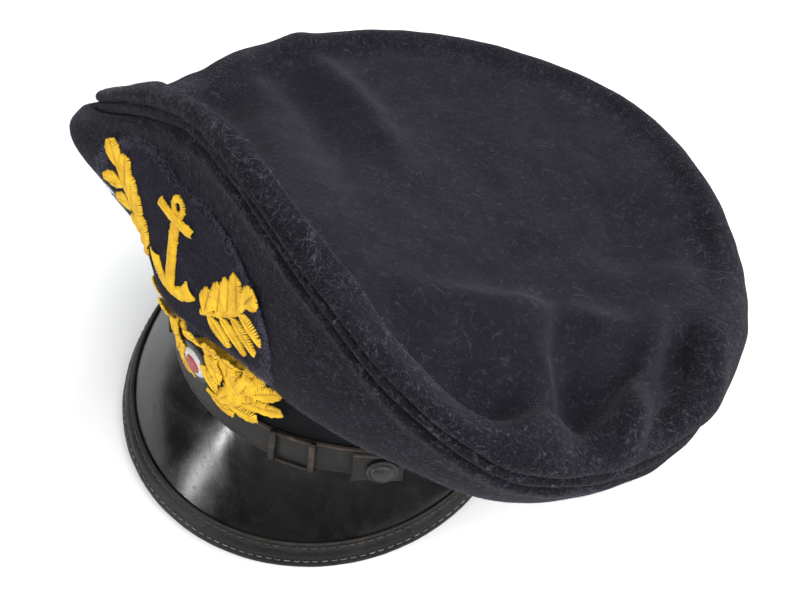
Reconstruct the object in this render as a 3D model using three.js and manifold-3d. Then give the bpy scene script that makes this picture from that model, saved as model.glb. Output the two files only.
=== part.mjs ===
// Visor cap with a soft wool crown, a mohair band, a moulded visor and a leather chin strap.
//
// Millimetres, +Z up. The pieces are laid out in the worn frame: the band's lower edge lies in the
// plane z = 0, its centre is the origin, the front faces -Y and the wearer's left is +X. An angle
// theta is measured from the front towards the wearer's left. The finished group is then tipped so
// that the visor's edge and the back of the band rest on the plane z = 0, as the cap lies by itself.

import * as THREE from "three";
import { mergeVertices } from "three/addons/utils/BufferGeometryUtils.js";
import Module from "manifold-3d";

// ---- Driving dimensions --------------------------------------------------------------------

const GAP = 0.35; // clearance between neighbouring pieces

const BAND = { halfWidth: 84.5, halfLength: 104, height: 43, flare: 1.5, wall: 2.5 };
const RESTING_ARC = 156; // the band's edge lies flat on the surface behind this angle, degrees

const CROWN_WALL = 2;
const PIPING_RADIUS = 2.1;
const SEAM_GAP = 1.8; // between the piping and the cut edges on both sides of it, in the section
const TOP_SAG = 3; // how far the middle of the top hangs below an even skin
const ROLL_BULGE = 3; // how far the rolled rim stands outside the seam
const RIM_SOFTNESS = 13; // width over which the top sinks from the rim to the main surface
const HARMONICS = 6; // terms that carry the rim's height across the top

const VISOR = { depth: 49.5, slope: 54, steeper: 5, halfAngle: 70, power: 0.6, wall: 2.2, start: 0.7 };
const VISOR_END_SHARE = 0.985; // how far the visor's solid runs towards its two points
const BINDING = { width: 9, wall: 0.9 };

const STRAP = { height: 13, wall: 1.8, halfAngle: 46, foot: 3.6, lean: 1 };
const STRAP_END = { from: 36, to: 46.5 };
const SLIDER = { theta: 24, halfWidth: 8.5, overhang: 1.3, bar: 2.2 };
const BUTTON = { theta: 42, radius: 5.8, height: 3.6, edge: 1.2 };

const TRIM_TURN = 1.5; // badge, wreath and cockade sit this far towards the wearer's left, degrees
const PANEL_RADIUS = 112; // arc radius that turns a width along the front panel into an angle
const WREATH_RADIUS = 105; // the same for the band
const PATCH = { halfWidth: 43, middle: 37, halfHeight: 27, endShare: 0.5, margin: 7, wall: 1 };
const BADGE_WALL = 1.3;
const WREATH_PATCH = { halfWidth: 34, low: 11.8, high: 40, out: 0.5, wall: 2.6 };
const WREATH_WALL = 1.4;
const COCKADE = { radius: 9, height: 3.4, edge: 1.2, z: 23 };

// Crown sections, one row for each direction: the seam that carries the piping, how far the rolled
// rim rises above it and lies inside it, the point that pulls the side panel's curve, and how far
// the top sinks behind the rim.
const CROWN_COLUMNS = ["theta", "seamR", "seamZ", "rise", "inset", "bellyR", "bellyZ", "drop"];
const CROWN_ROWS = [
  [-180, 118, 46, 10, 2, 114, 40, 5],
  [-150, 116, 47, 11, 4, 115, 39, 5],
  [-120, 116, 48, 11, 5, 116, 38, 5],
  [-90, 119, 49, 11, 8, 119, 38, 6],
  [-60, 121, 54, 9, 12, 126, 37, 8],
  [-45, 126, 70, 9, 12, 147, 65, 7],
  [-30, 118, 89.5, 9, 11, 152, 83, 7],
  [-15, 107, 107.5, 9, 6, 121, 77, 8],
  [0, 100, 117, 9, 1, 123, 43, 10],
  [15, 106, 119, 9, 4, 118, 45, 10],
  [30, 117, 107, 9, 6, 129, 35, 10],
  [45, 127, 80, 12, 12, 134, 28, 9],
  [60, 136, 62, 11, 10, 139, 21, 8],
  [90, 130, 46, 12, 8, 136, 18, 6],
  [120, 121, 44, 10, 5, 118, 29, 5],
  [150, 114, 47, 11, 3, 115, 38, 5],
];

// Folds and hollows of the soft top, seen from above: start, end, half width and height.
const FOLD_COLUMNS = ["x0", "y0", "x1", "y1", "width", "height"];
const FOLDS = [
  [-74, -43, 22, -79, 13, -5], // hollow behind the front peak
  [-104, 2, -3, -17, 11, -4], // slanting hollow across the right side
  [41, -45, 99, 42, 16, 3], // broad soft ridge across the left side
  [75, -49, 102, -66, 9, -3], // pulled hollow above the left front
  [89, -9, 125, -37, 8, -4], // pulled hollow above the left side
  [62, 53, 88, 60, 12, -2], // shallow hollow behind it
];

// Leaves of the badge's spray: how far along the stem each starts, its angle, length and half width.
const SPRAY_COLUMNS = ["share", "angle", "length", "halfWidth"];
const SPRAY_LEAVES = [
  [0.05, 76, 11, 3.4],
  [0.1, -44, 12, 3.3],
  [0.27, 82, 13, 3.7],
  [0.31, -30, 13, 3.4],
  [0.48, 87, 13.5, 3.8],
  [0.53, -16, 12, 3.4],
  [0.72, 92, 13, 3.5],
  [0.76, 0, 10, 3.1],
  [0.97, 64, 10, 3],
];
const SPRAY_STEM = [
  [15, 24],
  [21, 27],
  [27, 32],
  [32, 38],
  [35, 45],
];
const ANCHOR = {
  low: 24,
  high: 58,
  shank: 1.7,
  stock: 9,
  stockV: 50,
  stockWidth: 1.3,
  fluke: 11.5,
  armWidth: 1.5,
  flukeWidth: 2.8,
  ring: 3.6,
  ringWidth: 2,
};

// Leaves of the wreath: angle around the cockade where the leaf starts, its lean, length, width.
const WREATH_COLUMNS = ["around", "angle", "length", "halfWidth"];
const WREATH_RING = { shift: 2, halfWidth: 19.5, halfHeight: 12.5 };
const WREATH_LEAVES = [
  [-80, -22, 12, 3.2],
  [-64, 28, 12, 3.6],
  [-50, -36, 13, 3.6],
  [-34, 32, 13, 3.8],
  [-20, -38, 13, 3.8],
  [-5, 32, 13, 3.8],
  [10, -38, 12.5, 3.7],
  [24, 28, 12, 3.6],
  [36, -42, 11.5, 3.4],
  [50, 6, 11, 3.3],
];

const STEP = 4; // degrees between the crown's and the band's sections

// ---- Small helpers -------------------------------------------------------------------------

const radians = THREE.MathUtils.degToRad;

function range(from, to, step) {
  const count = Math.round((to - from) / step);
  return Array.from({ length: count + 1 }, (_, i) => from + i * step);
}

function row(columns, values) {
  return Object.fromEntries(columns.map((name, i) => [name, values[i]]));
}

// Smooth closed curve through one column of the crown's table.
function crownValue(name, theta) {
  const column = CROWN_COLUMNS.indexOf(name);
  const count = CROWN_ROWS.length;
  const turn = ((theta + 180) % 360 + 360) % 360 - 180;
  const index = CROWN_ROWS.findLastIndex((values) => values[0] <= turn);
  const at = (i) => {
    const wraps = Math.floor(i / count);
    const values = CROWN_ROWS[i - wraps * count];
    return { x: values[0] + 360 * wraps, y: values[column] };
  };
  const [before, start, end, after] = [-1, 0, 1, 2].map((offset) => at(index + offset));
  const span = end.x - start.x;
  const f = (turn - start.x) / span;
  const slopeStart = ((end.y - before.y) / (end.x - before.x)) * span;
  const slopeEnd = ((after.y - start.y) / (after.x - start.x)) * span;
  return (
    (2 * f ** 3 - 3 * f ** 2 + 1) * start.y +
    (f ** 3 - 2 * f ** 2 + f) * slopeStart +
    (3 * f ** 2 - 2 * f ** 3) * end.y +
    (f ** 3 - f ** 2) * slopeEnd
  );
}

function ovalRadius(theta) {
  const angle = radians(theta);
  return 1 / Math.hypot(Math.sin(angle) / BAND.halfWidth, Math.cos(angle) / BAND.halfLength);
}

// A point from its radius and height in the section at theta.
function polarPoint(theta, r, z) {
  const angle = radians(theta);
  return new THREE.Vector3(r * Math.sin(angle), -r * Math.cos(angle), z);
}

// A point square off the band's lower outline.
function bandPoint(theta, out, z) {
  const base = polarPoint(theta, ovalRadius(theta), 0);
  const normal = new THREE.Vector3(base.x / BAND.halfWidth ** 2, base.y / BAND.halfLength ** 2, 0);
  return base.add(normal.setLength(out)).setZ(z);
}

function bandFlare(z) {
  return (BAND.flare * z) / BAND.height;
}

function polylineLength(points) {
  return points.slice(1).reduce((sum, point, i) => sum + point.distanceTo(points[i]), 0);
}

// The point at a distance along a polyline, and the direction there.
function pointAlong(points, distance) {
  let left = distance;
  for (let i = 1; i < points.length; i += 1) {
    const length = points[i].distanceTo(points[i - 1]);
    if (left <= length || i === points.length - 1) {
      const along = points[i].clone().sub(points[i - 1]).normalize();
      return { point: points[i - 1].clone().addScaledVector(along, left), along };
    }
    left -= length;
  }
  return null;
}

// Evenly spaced points of a polyline between two distances along it.
function resampled(points, from, to, segments) {
  return range(0, segments, 1).map((i) => pointAlong(points, from + ((to - from) * i) / segments).point);
}

// The polyline moved to its left by a distance, corner by corner.
function offsetLeft(points, distance) {
  return points.map((point, i) => {
    const before = points[Math.max(i - 1, 0)];
    const after = points[Math.min(i + 1, points.length - 1)];
    const along = after.clone().sub(before).normalize();
    return point.clone().add(new THREE.Vector2(-along.y, along.x).multiplyScalar(distance));
  });
}

// A closed wall section: one face of a polyline and the face a wall's thickness to its left.
function wallSection(points, near, far) {
  return [...offsetLeft(points, near), ...offsetLeft(points, far).reverse()];
}

// ---- Solids from sections --------------------------------------------------------------------

function signedVolume(positions, triangles) {
  const corner = (i) => new THREE.Vector3().fromArray(positions, 3 * i);
  return triangles.reduce((sum, [a, b, c]) => sum + corner(a).dot(corner(b).cross(corner(c))), 0) / 6;
}

// Welds coincident points, drops collapsed triangles and turns the faces outwards.
function closedGeometry(points, triangles) {
  const keys = new Map();
  const positions = [];
  const index = points.map((point) => {
    const key = point.toArray().map((value) => Math.round(value * 1e4)).join(",");
    if (!keys.has(key)) {
      keys.set(key, keys.size);
      positions.push(...point.toArray());
    }
    return keys.get(key);
  });
  const welded = triangles
    .map((triangle) => triangle.map((i) => index[i]))
    .filter(([a, b, c]) => a !== b && b !== c && c !== a);
  const outward = signedVolume(positions, welded) > 0;
  const geometry = new THREE.BufferGeometry();
  geometry.setAttribute("position", new THREE.Float32BufferAttribute(positions, 3));
  geometry.setIndex(welded.flatMap(([a, b, c]) => (outward ? [a, b, c] : [a, c, b])));
  return geometry;
}

// Joins closed sections of equal point count, either in a ring or with flat ends.
// outlineAt gives a station's outline as Vector2s, placeAt puts such a point in space.
function loft(stations, outlineAt, placeAt, ring) {
  const outlines = stations.map(outlineAt);
  const size = outlines[0].length;
  const points = outlines.flatMap((outline, s) => outline.map((p) => placeAt(stations[s], p.x, p.y)));
  const triangles = [];
  const spans = ring ? stations.length : stations.length - 1;
  for (let s = 0; s < spans; s += 1) {
    const here = s * size;
    const next = ((s + 1) % stations.length) * size;
    for (let k = 0; k < size; k += 1) {
      const k1 = (k + 1) % size;
      triangles.push([here + k, next + k, next + k1], [here + k, next + k1, here + k1]);
    }
  }
  if (!ring) {
    const last = (stations.length - 1) * size;
    const capOf = (outline) => {
      const clockwise = THREE.ShapeUtils.isClockWise(outline);
      const faces = THREE.ShapeUtils.triangulateShape(outline, []);
      return clockwise ? faces.map(([a, b, c]) => [a, c, b]) : faces;
    };
    const turned = THREE.ShapeUtils.isClockWise(outlines[0]);
    const order = ([a, b, c]) => (turned ? [a, c, b] : [a, b, c]);
    triangles.push(...capOf(outlines[0]).map(order));
    const endCap = capOf(outlines.at(-1)).map(order);
    triangles.push(...endCap.map(([a, b, c]) => [last + a, last + c, last + b]));
  }
  return closedGeometry(points, triangles);
}

const wasm = await Module();
wasm.setup();

function toSolid(geometry) {
  const merged = mergeVertices(geometry, 1e-4);
  return new wasm.Manifold(
    new wasm.Mesh({
      numProp: 3,
      vertProperties: new Float32Array(merged.attributes.position.array),
      triVerts: new Uint32Array(merged.index.array),
    }),
  );
}

function joined(geometries) {
  const solids = geometries.map(toSolid);
  const { vertProperties, triVerts } = solids.reduce((sum, solid) => sum.add(solid)).getMesh();
  const geometry = new THREE.BufferGeometry();
  geometry.setAttribute("position", new THREE.BufferAttribute(vertProperties, 3));
  geometry.setIndex(new THREE.BufferAttribute(triVerts, 1));
  return geometry;
}

// ---- Crown -----------------------------------------------------------------------------------

const crownAngles = range(-180, 180 - STEP, STEP);

function seamPoint(theta) {
  return new THREE.Vector2(crownValue("seamR", theta), crownValue("seamZ", theta));
}

function ridgePoint(theta) {
  const seam = seamPoint(theta);
  return new THREE.Vector2(seam.x - crownValue("inset", theta), seam.y + crownValue("rise", theta));
}

// The side panel's outer face from the band's top to the seam.
function sidePanel(theta) {
  const bandTop = ovalRadius(theta) + BAND.flare + GAP;
  const curve = new THREE.QuadraticBezierCurve(
    new THREE.Vector2(bandTop, BAND.height + GAP),
    new THREE.Vector2(crownValue("bellyR", theta), crownValue("bellyZ", theta)),
    seamPoint(theta),
  );
  return curve.getPoints(12);
}

// The rolled rim from the seam up to the ridge.
function rimRoll(theta) {
  const seam = seamPoint(theta);
  const ridge = ridgePoint(theta);
  return range(0, 1, 0.25).map((share) => {
    const u = (share * Math.PI) / 2;
    const r = ridge.x + (seam.x - ridge.x) * Math.cos(u) + ROLL_BULGE * Math.sin(2 * u);
    return new THREE.Vector2(r, seam.y + (ridge.y - seam.y) * Math.sin(u));
  });
}

// Height of the main surface at its edge, as a series over the angle.
const rimSeries = (() => {
  const samples = range(-180, 178.5, 1.5);
  const heights = samples.map((theta) => ridgePoint(theta).y - crownValue("drop", theta));
  const share = 2 / samples.length;
  return range(0, HARMONICS, 1).map((k) => {
    const waves = samples.map((theta, i) => ({ phase: radians(k * theta), height: heights[i] }));
    const cosine = waves.reduce((sum, w) => sum + w.height * Math.cos(w.phase), 0) * share;
    const sine = waves.reduce((sum, w) => sum + w.height * Math.sin(w.phase), 0) * share;
    return { k, cosine: k === 0 ? cosine / 2 : cosine, sine };
  });
})();

function foldHeight(x, y) {
  return FOLDS.reduce((sum, values) => {
    const fold = row(FOLD_COLUMNS, values);
    const dx = fold.x1 - fold.x0;
    const dy = fold.y1 - fold.y0;
    const length = Math.hypot(dx, dy);
    const along = ((x - fold.x0) * dx + (y - fold.y0) * dy) / length ** 2;
    const across = ((y - fold.y0) * dx - (x - fold.x0) * dy) / length;
    const past = Math.max(0, Math.abs(along - 0.5) - 0.3);
    return sum + fold.height * Math.exp(-((across / fold.width) ** 2) - past ** 2 / 0.06);
  }, 0);
}

function topHeight(theta, r) {
  const ridge = ridgePoint(theta);
  const drop = crownValue("drop", theta);
  const share = r / ridge.x;
  const wave = (term) => {
    const phase = radians(term.k * theta);
    return term.cosine * Math.cos(phase) + term.sine * Math.sin(phase);
  };
  const skin = rimSeries.reduce((sum, term) => sum + wave(term) * share ** term.k, 0);
  const atRim = rimSeries.reduce((sum, term) => sum + wave(term), 0);
  const correction = (ridge.y - drop - atRim) * THREE.MathUtils.clamp((share - 0.6) / 0.4, 0, 1) ** 2;
  const rim = drop * Math.exp(-(((ridge.x - r) / RIM_SOFTNESS) ** 2));
  const inside = THREE.MathUtils.clamp((ridge.x - r) / RIM_SOFTNESS, 0, 1);
  const { x, y } = polarPoint(theta, r, 0);
  return skin + correction - TOP_SAG * (1 - share ** 2) + rim + foldHeight(x, y) * inside;
}

const TOP_SHARES = [0.95, 0.89, 0.8, 0.66, 0.5, 0.3];

function topPanel(theta) {
  const ridge = ridgePoint(theta);
  return TOP_SHARES.map((share) => new THREE.Vector2(ridge.x * share, topHeight(theta, ridge.x * share)));
}

const seamMargin = PIPING_RADIUS + SEAM_GAP;

function crownSide() {
  const section = (theta) => {
    const panel = sidePanel(theta);
    return wallSection(resampled(panel, 0, polylineLength(panel) - seamMargin, 6), 0, CROWN_WALL);
  };
  return loft(crownAngles, section, polarPoint, true);
}

function crownPiping() {
  const section = (theta) => {
    const centre = seamPoint(theta);
    return range(0, 315, 45).map((turn) => {
      const reach = new THREE.Vector2(PIPING_RADIUS, 0).rotateAround(new THREE.Vector2(), radians(turn));
      return centre.clone().add(reach);
    });
  };
  return loft(crownAngles, section, polarPoint, true);
}

function crownTop() {
  const middle = topHeight(0, 0);
  const section = (theta) => {
    const roll = rimRoll(theta);
    const outer = [...resampled(roll, seamMargin, polylineLength(roll), 4), ...topPanel(theta)];
    const wall = wallSection(outer, 0, CROWN_WALL);
    const half = wall.length / 2;
    const poles = [new THREE.Vector2(0, middle), new THREE.Vector2(0, middle - CROWN_WALL)];
    return [...wall.slice(0, half), ...poles, ...wall.slice(half)];
  };
  return loft(crownAngles, section, polarPoint, true);
}

// ---- Band and visor --------------------------------------------------------------------------

// The visor's slope below the horizontal, a little steeper towards its points.
function visorSlope(theta) {
  return radians(VISOR.slope + VISOR.steeper * (theta / VISOR.halfAngle) ** 2);
}

function visorReach(theta) {
  const share = Math.cos(((Math.PI / 2) * theta) / VISOR.halfAngle);
  return VISOR.depth * Math.max(share, 1e-4) ** VISOR.power;
}

// A point d down the visor and lift square above its top face.
function visorPoint(theta, d, lift) {
  const slope = visorSlope(theta);
  const out = d * Math.cos(slope) + lift * Math.sin(slope);
  return bandPoint(theta, out, lift * Math.cos(slope) - d * Math.sin(slope));
}

const visorAngles = range(-80, 80, 8).map(
  (phase) => VISOR.halfAngle * VISOR_END_SHARE * (Math.sin(radians(phase)) / Math.sin(radians(80))),
);

function boxSection(x0, x1, y0, y1) {
  return [
    new THREE.Vector2(x0, y0),
    new THREE.Vector2(x1, y0),
    new THREE.Vector2(x1, y1),
    new THREE.Vector2(x0, y1),
  ];
}

function visorPlate() {
  const section = (theta) => boxSection(VISOR.start, visorReach(theta), -VISOR.wall, 0);
  return loft(visorAngles, section, visorPoint, false);
}

// The binding is folded over the visor's edge.
function visorBinding() {
  const section = (theta) => {
    const reach = visorReach(theta);
    const inner = Math.max(reach - BINDING.width, VISOR.start);
    const edge = reach + GAP;
    const under = -VISOR.wall - GAP;
    const wall = BINDING.wall;
    return [
      new THREE.Vector2(inner, GAP),
      new THREE.Vector2(edge, GAP),
      new THREE.Vector2(edge, under),
      new THREE.Vector2(inner, under),
      new THREE.Vector2(inner, under - wall),
      new THREE.Vector2(edge + wall, under - wall),
      new THREE.Vector2(edge + wall, GAP + wall),
      new THREE.Vector2(inner, GAP + wall),
    ];
  };
  return loft(visorAngles, section, visorPoint, false);
}

// The surface that the cap rests on, as a plane in the worn frame: it touches the binding's lowest
// points and the band's edge where the band starts to lie flat.
const bandFoot = bandPoint(RESTING_ARC, 0, 0);
const restTilt = Math.max(
  ...visorAngles.map((theta) => {
    const below = -VISOR.wall - GAP - BINDING.wall;
    const foot = visorPoint(theta, visorReach(theta) + GAP + BINDING.wall, below);
    return Math.atan2(-foot.z, bandFoot.y - foot.y);
  }),
);

function restHeight(y) {
  return (y - bandFoot.y) * Math.tan(restTilt);
}

function capBand() {
  const place = (theta, out, z) => {
    const point = bandPoint(theta, out, z);
    return z > 0 ? point : point.setZ(Math.max(0, restHeight(point.y)));
  };
  const section = () => [
    new THREE.Vector2(-BAND.wall, 0),
    new THREE.Vector2(0, 0),
    new THREE.Vector2(BAND.flare, BAND.height),
    new THREE.Vector2(BAND.flare - BAND.wall, BAND.height),
  ];
  return loft(crownAngles, section, place, true);
}

// ---- Chin strap ------------------------------------------------------------------------------

// A point on the strap: up from its lower edge, which rests on the visor, and out from its back.
function strapPoint(theta, up, out) {
  const foot = visorPoint(theta, STRAP.foot, GAP);
  const head = bandPoint(theta, STRAP.lean, STRAP.height - STRAP.foot);
  const rise = head.sub(foot).normalize();
  const along = bandPoint(theta + 0.5, 0, 0).sub(bandPoint(theta - 0.5, 0, 0));
  const normal = along.cross(rise).normalize();
  return foot.addScaledVector(rise, up).addScaledVector(normal, out);
}

function strapPiece(from, to, step, out) {
  const section = () => boxSection(0, STRAP.height, out, out + STRAP.wall);
  return loft(range(from, to, step), section, strapPoint, false);
}

const strapLayer = STRAP.wall + GAP;

function chinStrap() {
  return strapPiece(-STRAP.halfAngle, STRAP.halfAngle, 4, 0);
}

function strapEnd(side) {
  const step = (STRAP_END.to - STRAP_END.from) / 3;
  const angles = [side * STRAP_END.from, side * STRAP_END.to].sort((a, b) => a - b);
  return strapPiece(angles[0], angles[1], step, strapLayer);
}

// A slider frame lying on the strap: a rectangular ring with rounded corners.
function strapSlider(side) {
  const middle = SLIDER.theta * side;
  const halfHeight = STRAP.height / 2 + SLIDER.overhang;
  const halfWidth = SLIDER.halfWidth;
  const corner = 2.5;
  const turns = range(0, 330, 30);
  const place = (turn, reach, out) => {
    const cos = Math.cos(radians(turn));
    const sin = Math.sin(radians(turn));
    const along = (halfWidth - corner) * Math.sign(Math.round(cos * 100)) + (corner + reach) * cos;
    const up = (halfHeight - corner) * Math.sign(Math.round(sin * 100)) + (corner + reach) * sin;
    const theta = middle + THREE.MathUtils.radToDeg(along / WREATH_RADIUS);
    return strapPoint(theta, STRAP.height / 2 + up, out);
  };
  const section = () => boxSection(-SLIDER.bar, 0, strapLayer, strapLayer + SLIDER.bar);
  return loft(turns, section, place, true);
}

// A domed disc: radius, height of its edge and of its crown.
function domedDisc(radius, edge, height) {
  const dome = range(0, 90, 22.5).map((turn) => {
    const angle = radians(turn);
    return new THREE.Vector2(radius * Math.cos(angle), edge + (height - edge) * Math.sin(angle));
  });
  dome.at(-1).x = 0;
  const profile = [new THREE.Vector2(0, 0), new THREE.Vector2(radius, 0), ...dome];
  const lathe = new THREE.LatheGeometry(profile, 24);
  lathe.deleteAttribute("normal");
  lathe.deleteAttribute("uv");
  const merged = mergeVertices(lathe, 1e-3);
  const points = [];
  for (let i = 0; i < merged.attributes.position.count; i += 1) {
    points.push(new THREE.Vector3().fromBufferAttribute(merged.attributes.position, i));
  }
  const index = Array.from(merged.index.array);
  const triangles = range(0, index.length / 3 - 1, 1).map((i) => index.slice(3 * i, 3 * i + 3));
  return closedGeometry(points, triangles);
}

// Turns a disc whose axis is +Y so that it lies on a point with the given outward direction.
function layOn(mesh, point, outward) {
  mesh.position.copy(point);
  mesh.quaternion.setFromUnitVectors(new THREE.Vector3(0, 1, 0), outward.clone().normalize());
  return mesh;
}

// ---- Badge and wreath ------------------------------------------------------------------------

// A point on the front panel: u along the front, v up from the band, lift off the cloth. The panel
// is read between its sections, so that flat facets keep their clearance.
function panelPoint(u, v, lift) {
  const theta = TRIM_TURN + THREE.MathUtils.radToDeg(u / PANEL_RADIUS);
  const low = Math.floor(theta / STEP) * STEP;
  const share = (theta - low) / STEP;
  const pointAt = (angle) => {
    const { point, along } = pointAlong(sidePanel(angle), v);
    const flat = point.add(new THREE.Vector2(along.y, -along.x).multiplyScalar(lift));
    return polarPoint(angle, flat.x, flat.y);
  };
  return pointAt(low).lerp(pointAt(low + STEP), share);
}

const patchLift = 4 * GAP;
const badgeLift = patchLift + PATCH.wall + GAP;

// A strip of cloth on the panel, its sections on the panel's own.
function badgePatch() {
  const reach = THREE.MathUtils.radToDeg(PATCH.halfWidth / PANEL_RADIUS);
  const inner = crownAngles.filter((theta) => Math.abs(theta - TRIM_TURN) < reach - 1);
  const stations = [TRIM_TURN - reach, ...inner, TRIM_TURN + reach];
  const section = (theta) => {
    const share = Math.min(1, Math.abs(theta - TRIM_TURN) / reach);
    const half = PATCH.halfHeight * (PATCH.endShare + (1 - PATCH.endShare) * Math.sqrt(1 - share ** 2));
    const low = PATCH.middle - half;
    const high = Math.min(PATCH.middle + half, polylineLength(sidePanel(theta)) - PATCH.margin);
    const rows = range(0, 1, 1 / 6).map((k) => low + (high - low) * k);
    const back = rows.map((v) => new THREE.Vector2(v, patchLift));
    const front = rows.map((v) => new THREE.Vector2(v, patchLift + PATCH.wall));
    return [...back, ...front.reverse()];
  };
  const place = (theta, v, lift) => panelPoint(radians(theta - TRIM_TURN) * PANEL_RADIUS, v, lift);
  return loft(stations, section, place, false);
}

// A flat embroidered stroke with a width at each of its points, laid by a chart.
function stroke(path, chart, lift, wall) {
  const section = (i) => {
    const point = path[i];
    const before = path[Math.max(i - 1, 0)];
    const after = path[Math.min(i + 1, path.length - 1)];
    const across = new THREE.Vector2(before.y - after.y, after.x - before.x).normalize();
    return [-1, 1].map((side) => ({
      x: point.x + across.x * point.half * side,
      y: point.y + across.y * point.half * side,
    }));
  };
  const stations = path.map((_, i) => i);
  const corners = stations.map(section);
  const outline = () => boxSection(0, 1, lift, lift + wall);
  const place = (i, side, height) => {
    const corner = corners[i][side];
    return chart(corner.x, corner.y, height);
  };
  return loft(stations, outline, place, false);
}

function leafPath(x, y, angle, length, halfWidth) {
  const direction = radians(angle);
  const shape = [
    [0, 0.4],
    [0.35, 1],
    [0.75, 0.75],
    [1, 0.15],
  ];
  return shape.map(([share, width]) => ({
    x: x + Math.cos(direction) * length * share,
    y: y + Math.sin(direction) * length * share,
    half: halfWidth * width,
  }));
}

function badgeSpray(side) {
  const chart = (u, v, lift) => panelPoint(side * u, v, lift);
  const line = SPRAY_STEM.map(([u, v]) => new THREE.Vector2(u, v));
  const stem = line.map(({ x, y }) => ({ x, y, half: 1.1 }));
  const leaves = SPRAY_LEAVES.map((values) => {
    const leaf = row(SPRAY_COLUMNS, values);
    const { point } = pointAlong(line, leaf.share * polylineLength(line));
    return leafPath(point.x, point.y, leaf.angle, leaf.length, leaf.halfWidth);
  });
  return joined([stem, ...leaves].map((path) => stroke(path, chart, badgeLift, BADGE_WALL)));
}

function badgeAnchor() {
  const line = (points, half) => points.map(([x, y]) => ({ x, y, half }));
  const shankTop = ANCHOR.high - 2 * ANCHOR.ring;
  const shankMiddle = (ANCHOR.low + shankTop) / 2;
  const shank = line([[0, ANCHOR.low], [0, shankMiddle], [0, shankTop + 1]], ANCHOR.shank);
  const stock = line(
    [-ANCHOR.stock, 0, ANCHOR.stock].map((u) => [u, ANCHOR.stockV]),
    ANCHOR.stockWidth,
  );
  const arms = range(-60, 60, 20).map((turn) => ({
    x: ANCHOR.fluke * Math.sin(radians(turn)),
    y: ANCHOR.low + ANCHOR.fluke * (1 - Math.cos(radians(turn))),
    half: THREE.MathUtils.lerp(ANCHOR.armWidth, ANCHOR.flukeWidth, Math.abs(turn / 60)),
  }));
  const ringMiddle = ANCHOR.high - ANCHOR.ring;
  const ringSection = () =>
    boxSection(ANCHOR.ring - ANCHOR.ringWidth, ANCHOR.ring, badgeLift, badgeLift + BADGE_WALL);
  const ringPlace = (turn, r, lift) => {
    const u = r * Math.cos(radians(turn));
    return panelPoint(u, ringMiddle + r * Math.sin(radians(turn)), lift);
  };
  const ring = loft(range(0, 315, 45), ringSection, ringPlace, true);
  const bars = [shank, stock, arms].map((path) => stroke(path, panelPoint, badgeLift, BADGE_WALL));
  return joined([...bars, ring]);
}

// A point on the band's front: u along it, z up, out from the band's foot.
function frontPoint(u, z, out) {
  const theta = TRIM_TURN + THREE.MathUtils.radToDeg(u / WREATH_RADIUS);
  return bandPoint(theta, out + bandFlare(z), z);
}

function wreathPatch() {
  const { halfWidth, low, high, out, wall } = WREATH_PATCH;
  const middle = (low + high) / 2;
  const section = (u) => {
    const half = ((high - low) / 2) * (0.45 + 0.55 * Math.sqrt(1 - (u / halfWidth) ** 2));
    return boxSection(Math.max(low, middle - half), middle + half, out, out + wall);
  };
  return loft(range(-halfWidth, halfWidth, halfWidth / 5), section, frontPoint, false);
}

const wreathLift = WREATH_PATCH.out + WREATH_PATCH.wall + GAP + 0.6;

function wreathBranch(side) {
  const chart = (u, z, lift) => frontPoint(side * u, z, lift);
  const ringPoint = (around) => ({
    x: WREATH_RING.shift + WREATH_RING.halfWidth * Math.cos(radians(around)),
    y: COCKADE.z + WREATH_RING.halfHeight * Math.sin(radians(around)),
  });
  const stem = range(-84, 60, 18).map((around) => ({ ...ringPoint(around), half: 1.4 }));
  const leaves = WREATH_LEAVES.map((values) => {
    const leaf = row(WREATH_COLUMNS, values);
    const start = ringPoint(leaf.around);
    const tangent = leaf.around + 90;
    return leafPath(start.x, start.y, tangent + leaf.angle, leaf.length, leaf.halfWidth);
  });
  return joined([stem, ...leaves].map((path) => stroke(path, chart, wreathLift, WREATH_WALL)));
}

// ---- Materials and assembly --------------------------------------------------------------------

function finish(color, roughness, metalness = 0) {
  return new THREE.MeshStandardMaterial({ color, roughness, metalness });
}

const wool = finish(0x1c1e2d, 0.95);
const mohair = finish(0x0b0b0e, 0.9);
const patchWool = finish(0x221f33, 0.95);
const gold = finish(0xd4a828, 0.6);
const gloss = finish(0x0a0a0c, 0.15);
const leather = finish(0x1a1918, 0.45);
const lacquer = finish(0x222123, 0.3);
const enamel = finish(0xb9b4ae, 0.35);

const cap = new THREE.Group();

function add(name, geometry, material) {
  const mesh = new THREE.Mesh(geometry, material);
  mesh.name = name;
  cap.add(mesh);
  return mesh;
}

add("crown_top", crownTop(), wool);
add("crown_piping", crownPiping(), wool);
add("crown_side", crownSide(), wool);
add("cap_band", capBand(), mohair);
add("visor", visorPlate(), gloss);
add("visor_binding", visorBinding(), leather);
add("chin_strap", chinStrap(), leather);
add("badge_patch", badgePatch(), patchWool);
add("badge_anchor", badgeAnchor(), gold);
add("wreath_patch", wreathPatch(), patchWool);

for (const [name, side] of [["left", 1], ["right", -1]]) {
  add(`strap_end_${name}`, strapEnd(side), leather);
  add(`strap_slider_${name}`, strapSlider(side), leather);
  add(`badge_spray_${name}`, badgeSpray(side), gold);
  add(`wreath_${name}`, wreathBranch(side), gold);
  const seat = strapPoint(side * BUTTON.theta, STRAP.height / 2, 2 * strapLayer);
  const outward = seat.clone().sub(strapPoint(side * BUTTON.theta, STRAP.height / 2, 0));
  const button = add(`side_button_${name}`, domedDisc(BUTTON.radius, BUTTON.edge, BUTTON.height), lacquer);
  layOn(button, seat, outward);
}

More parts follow.
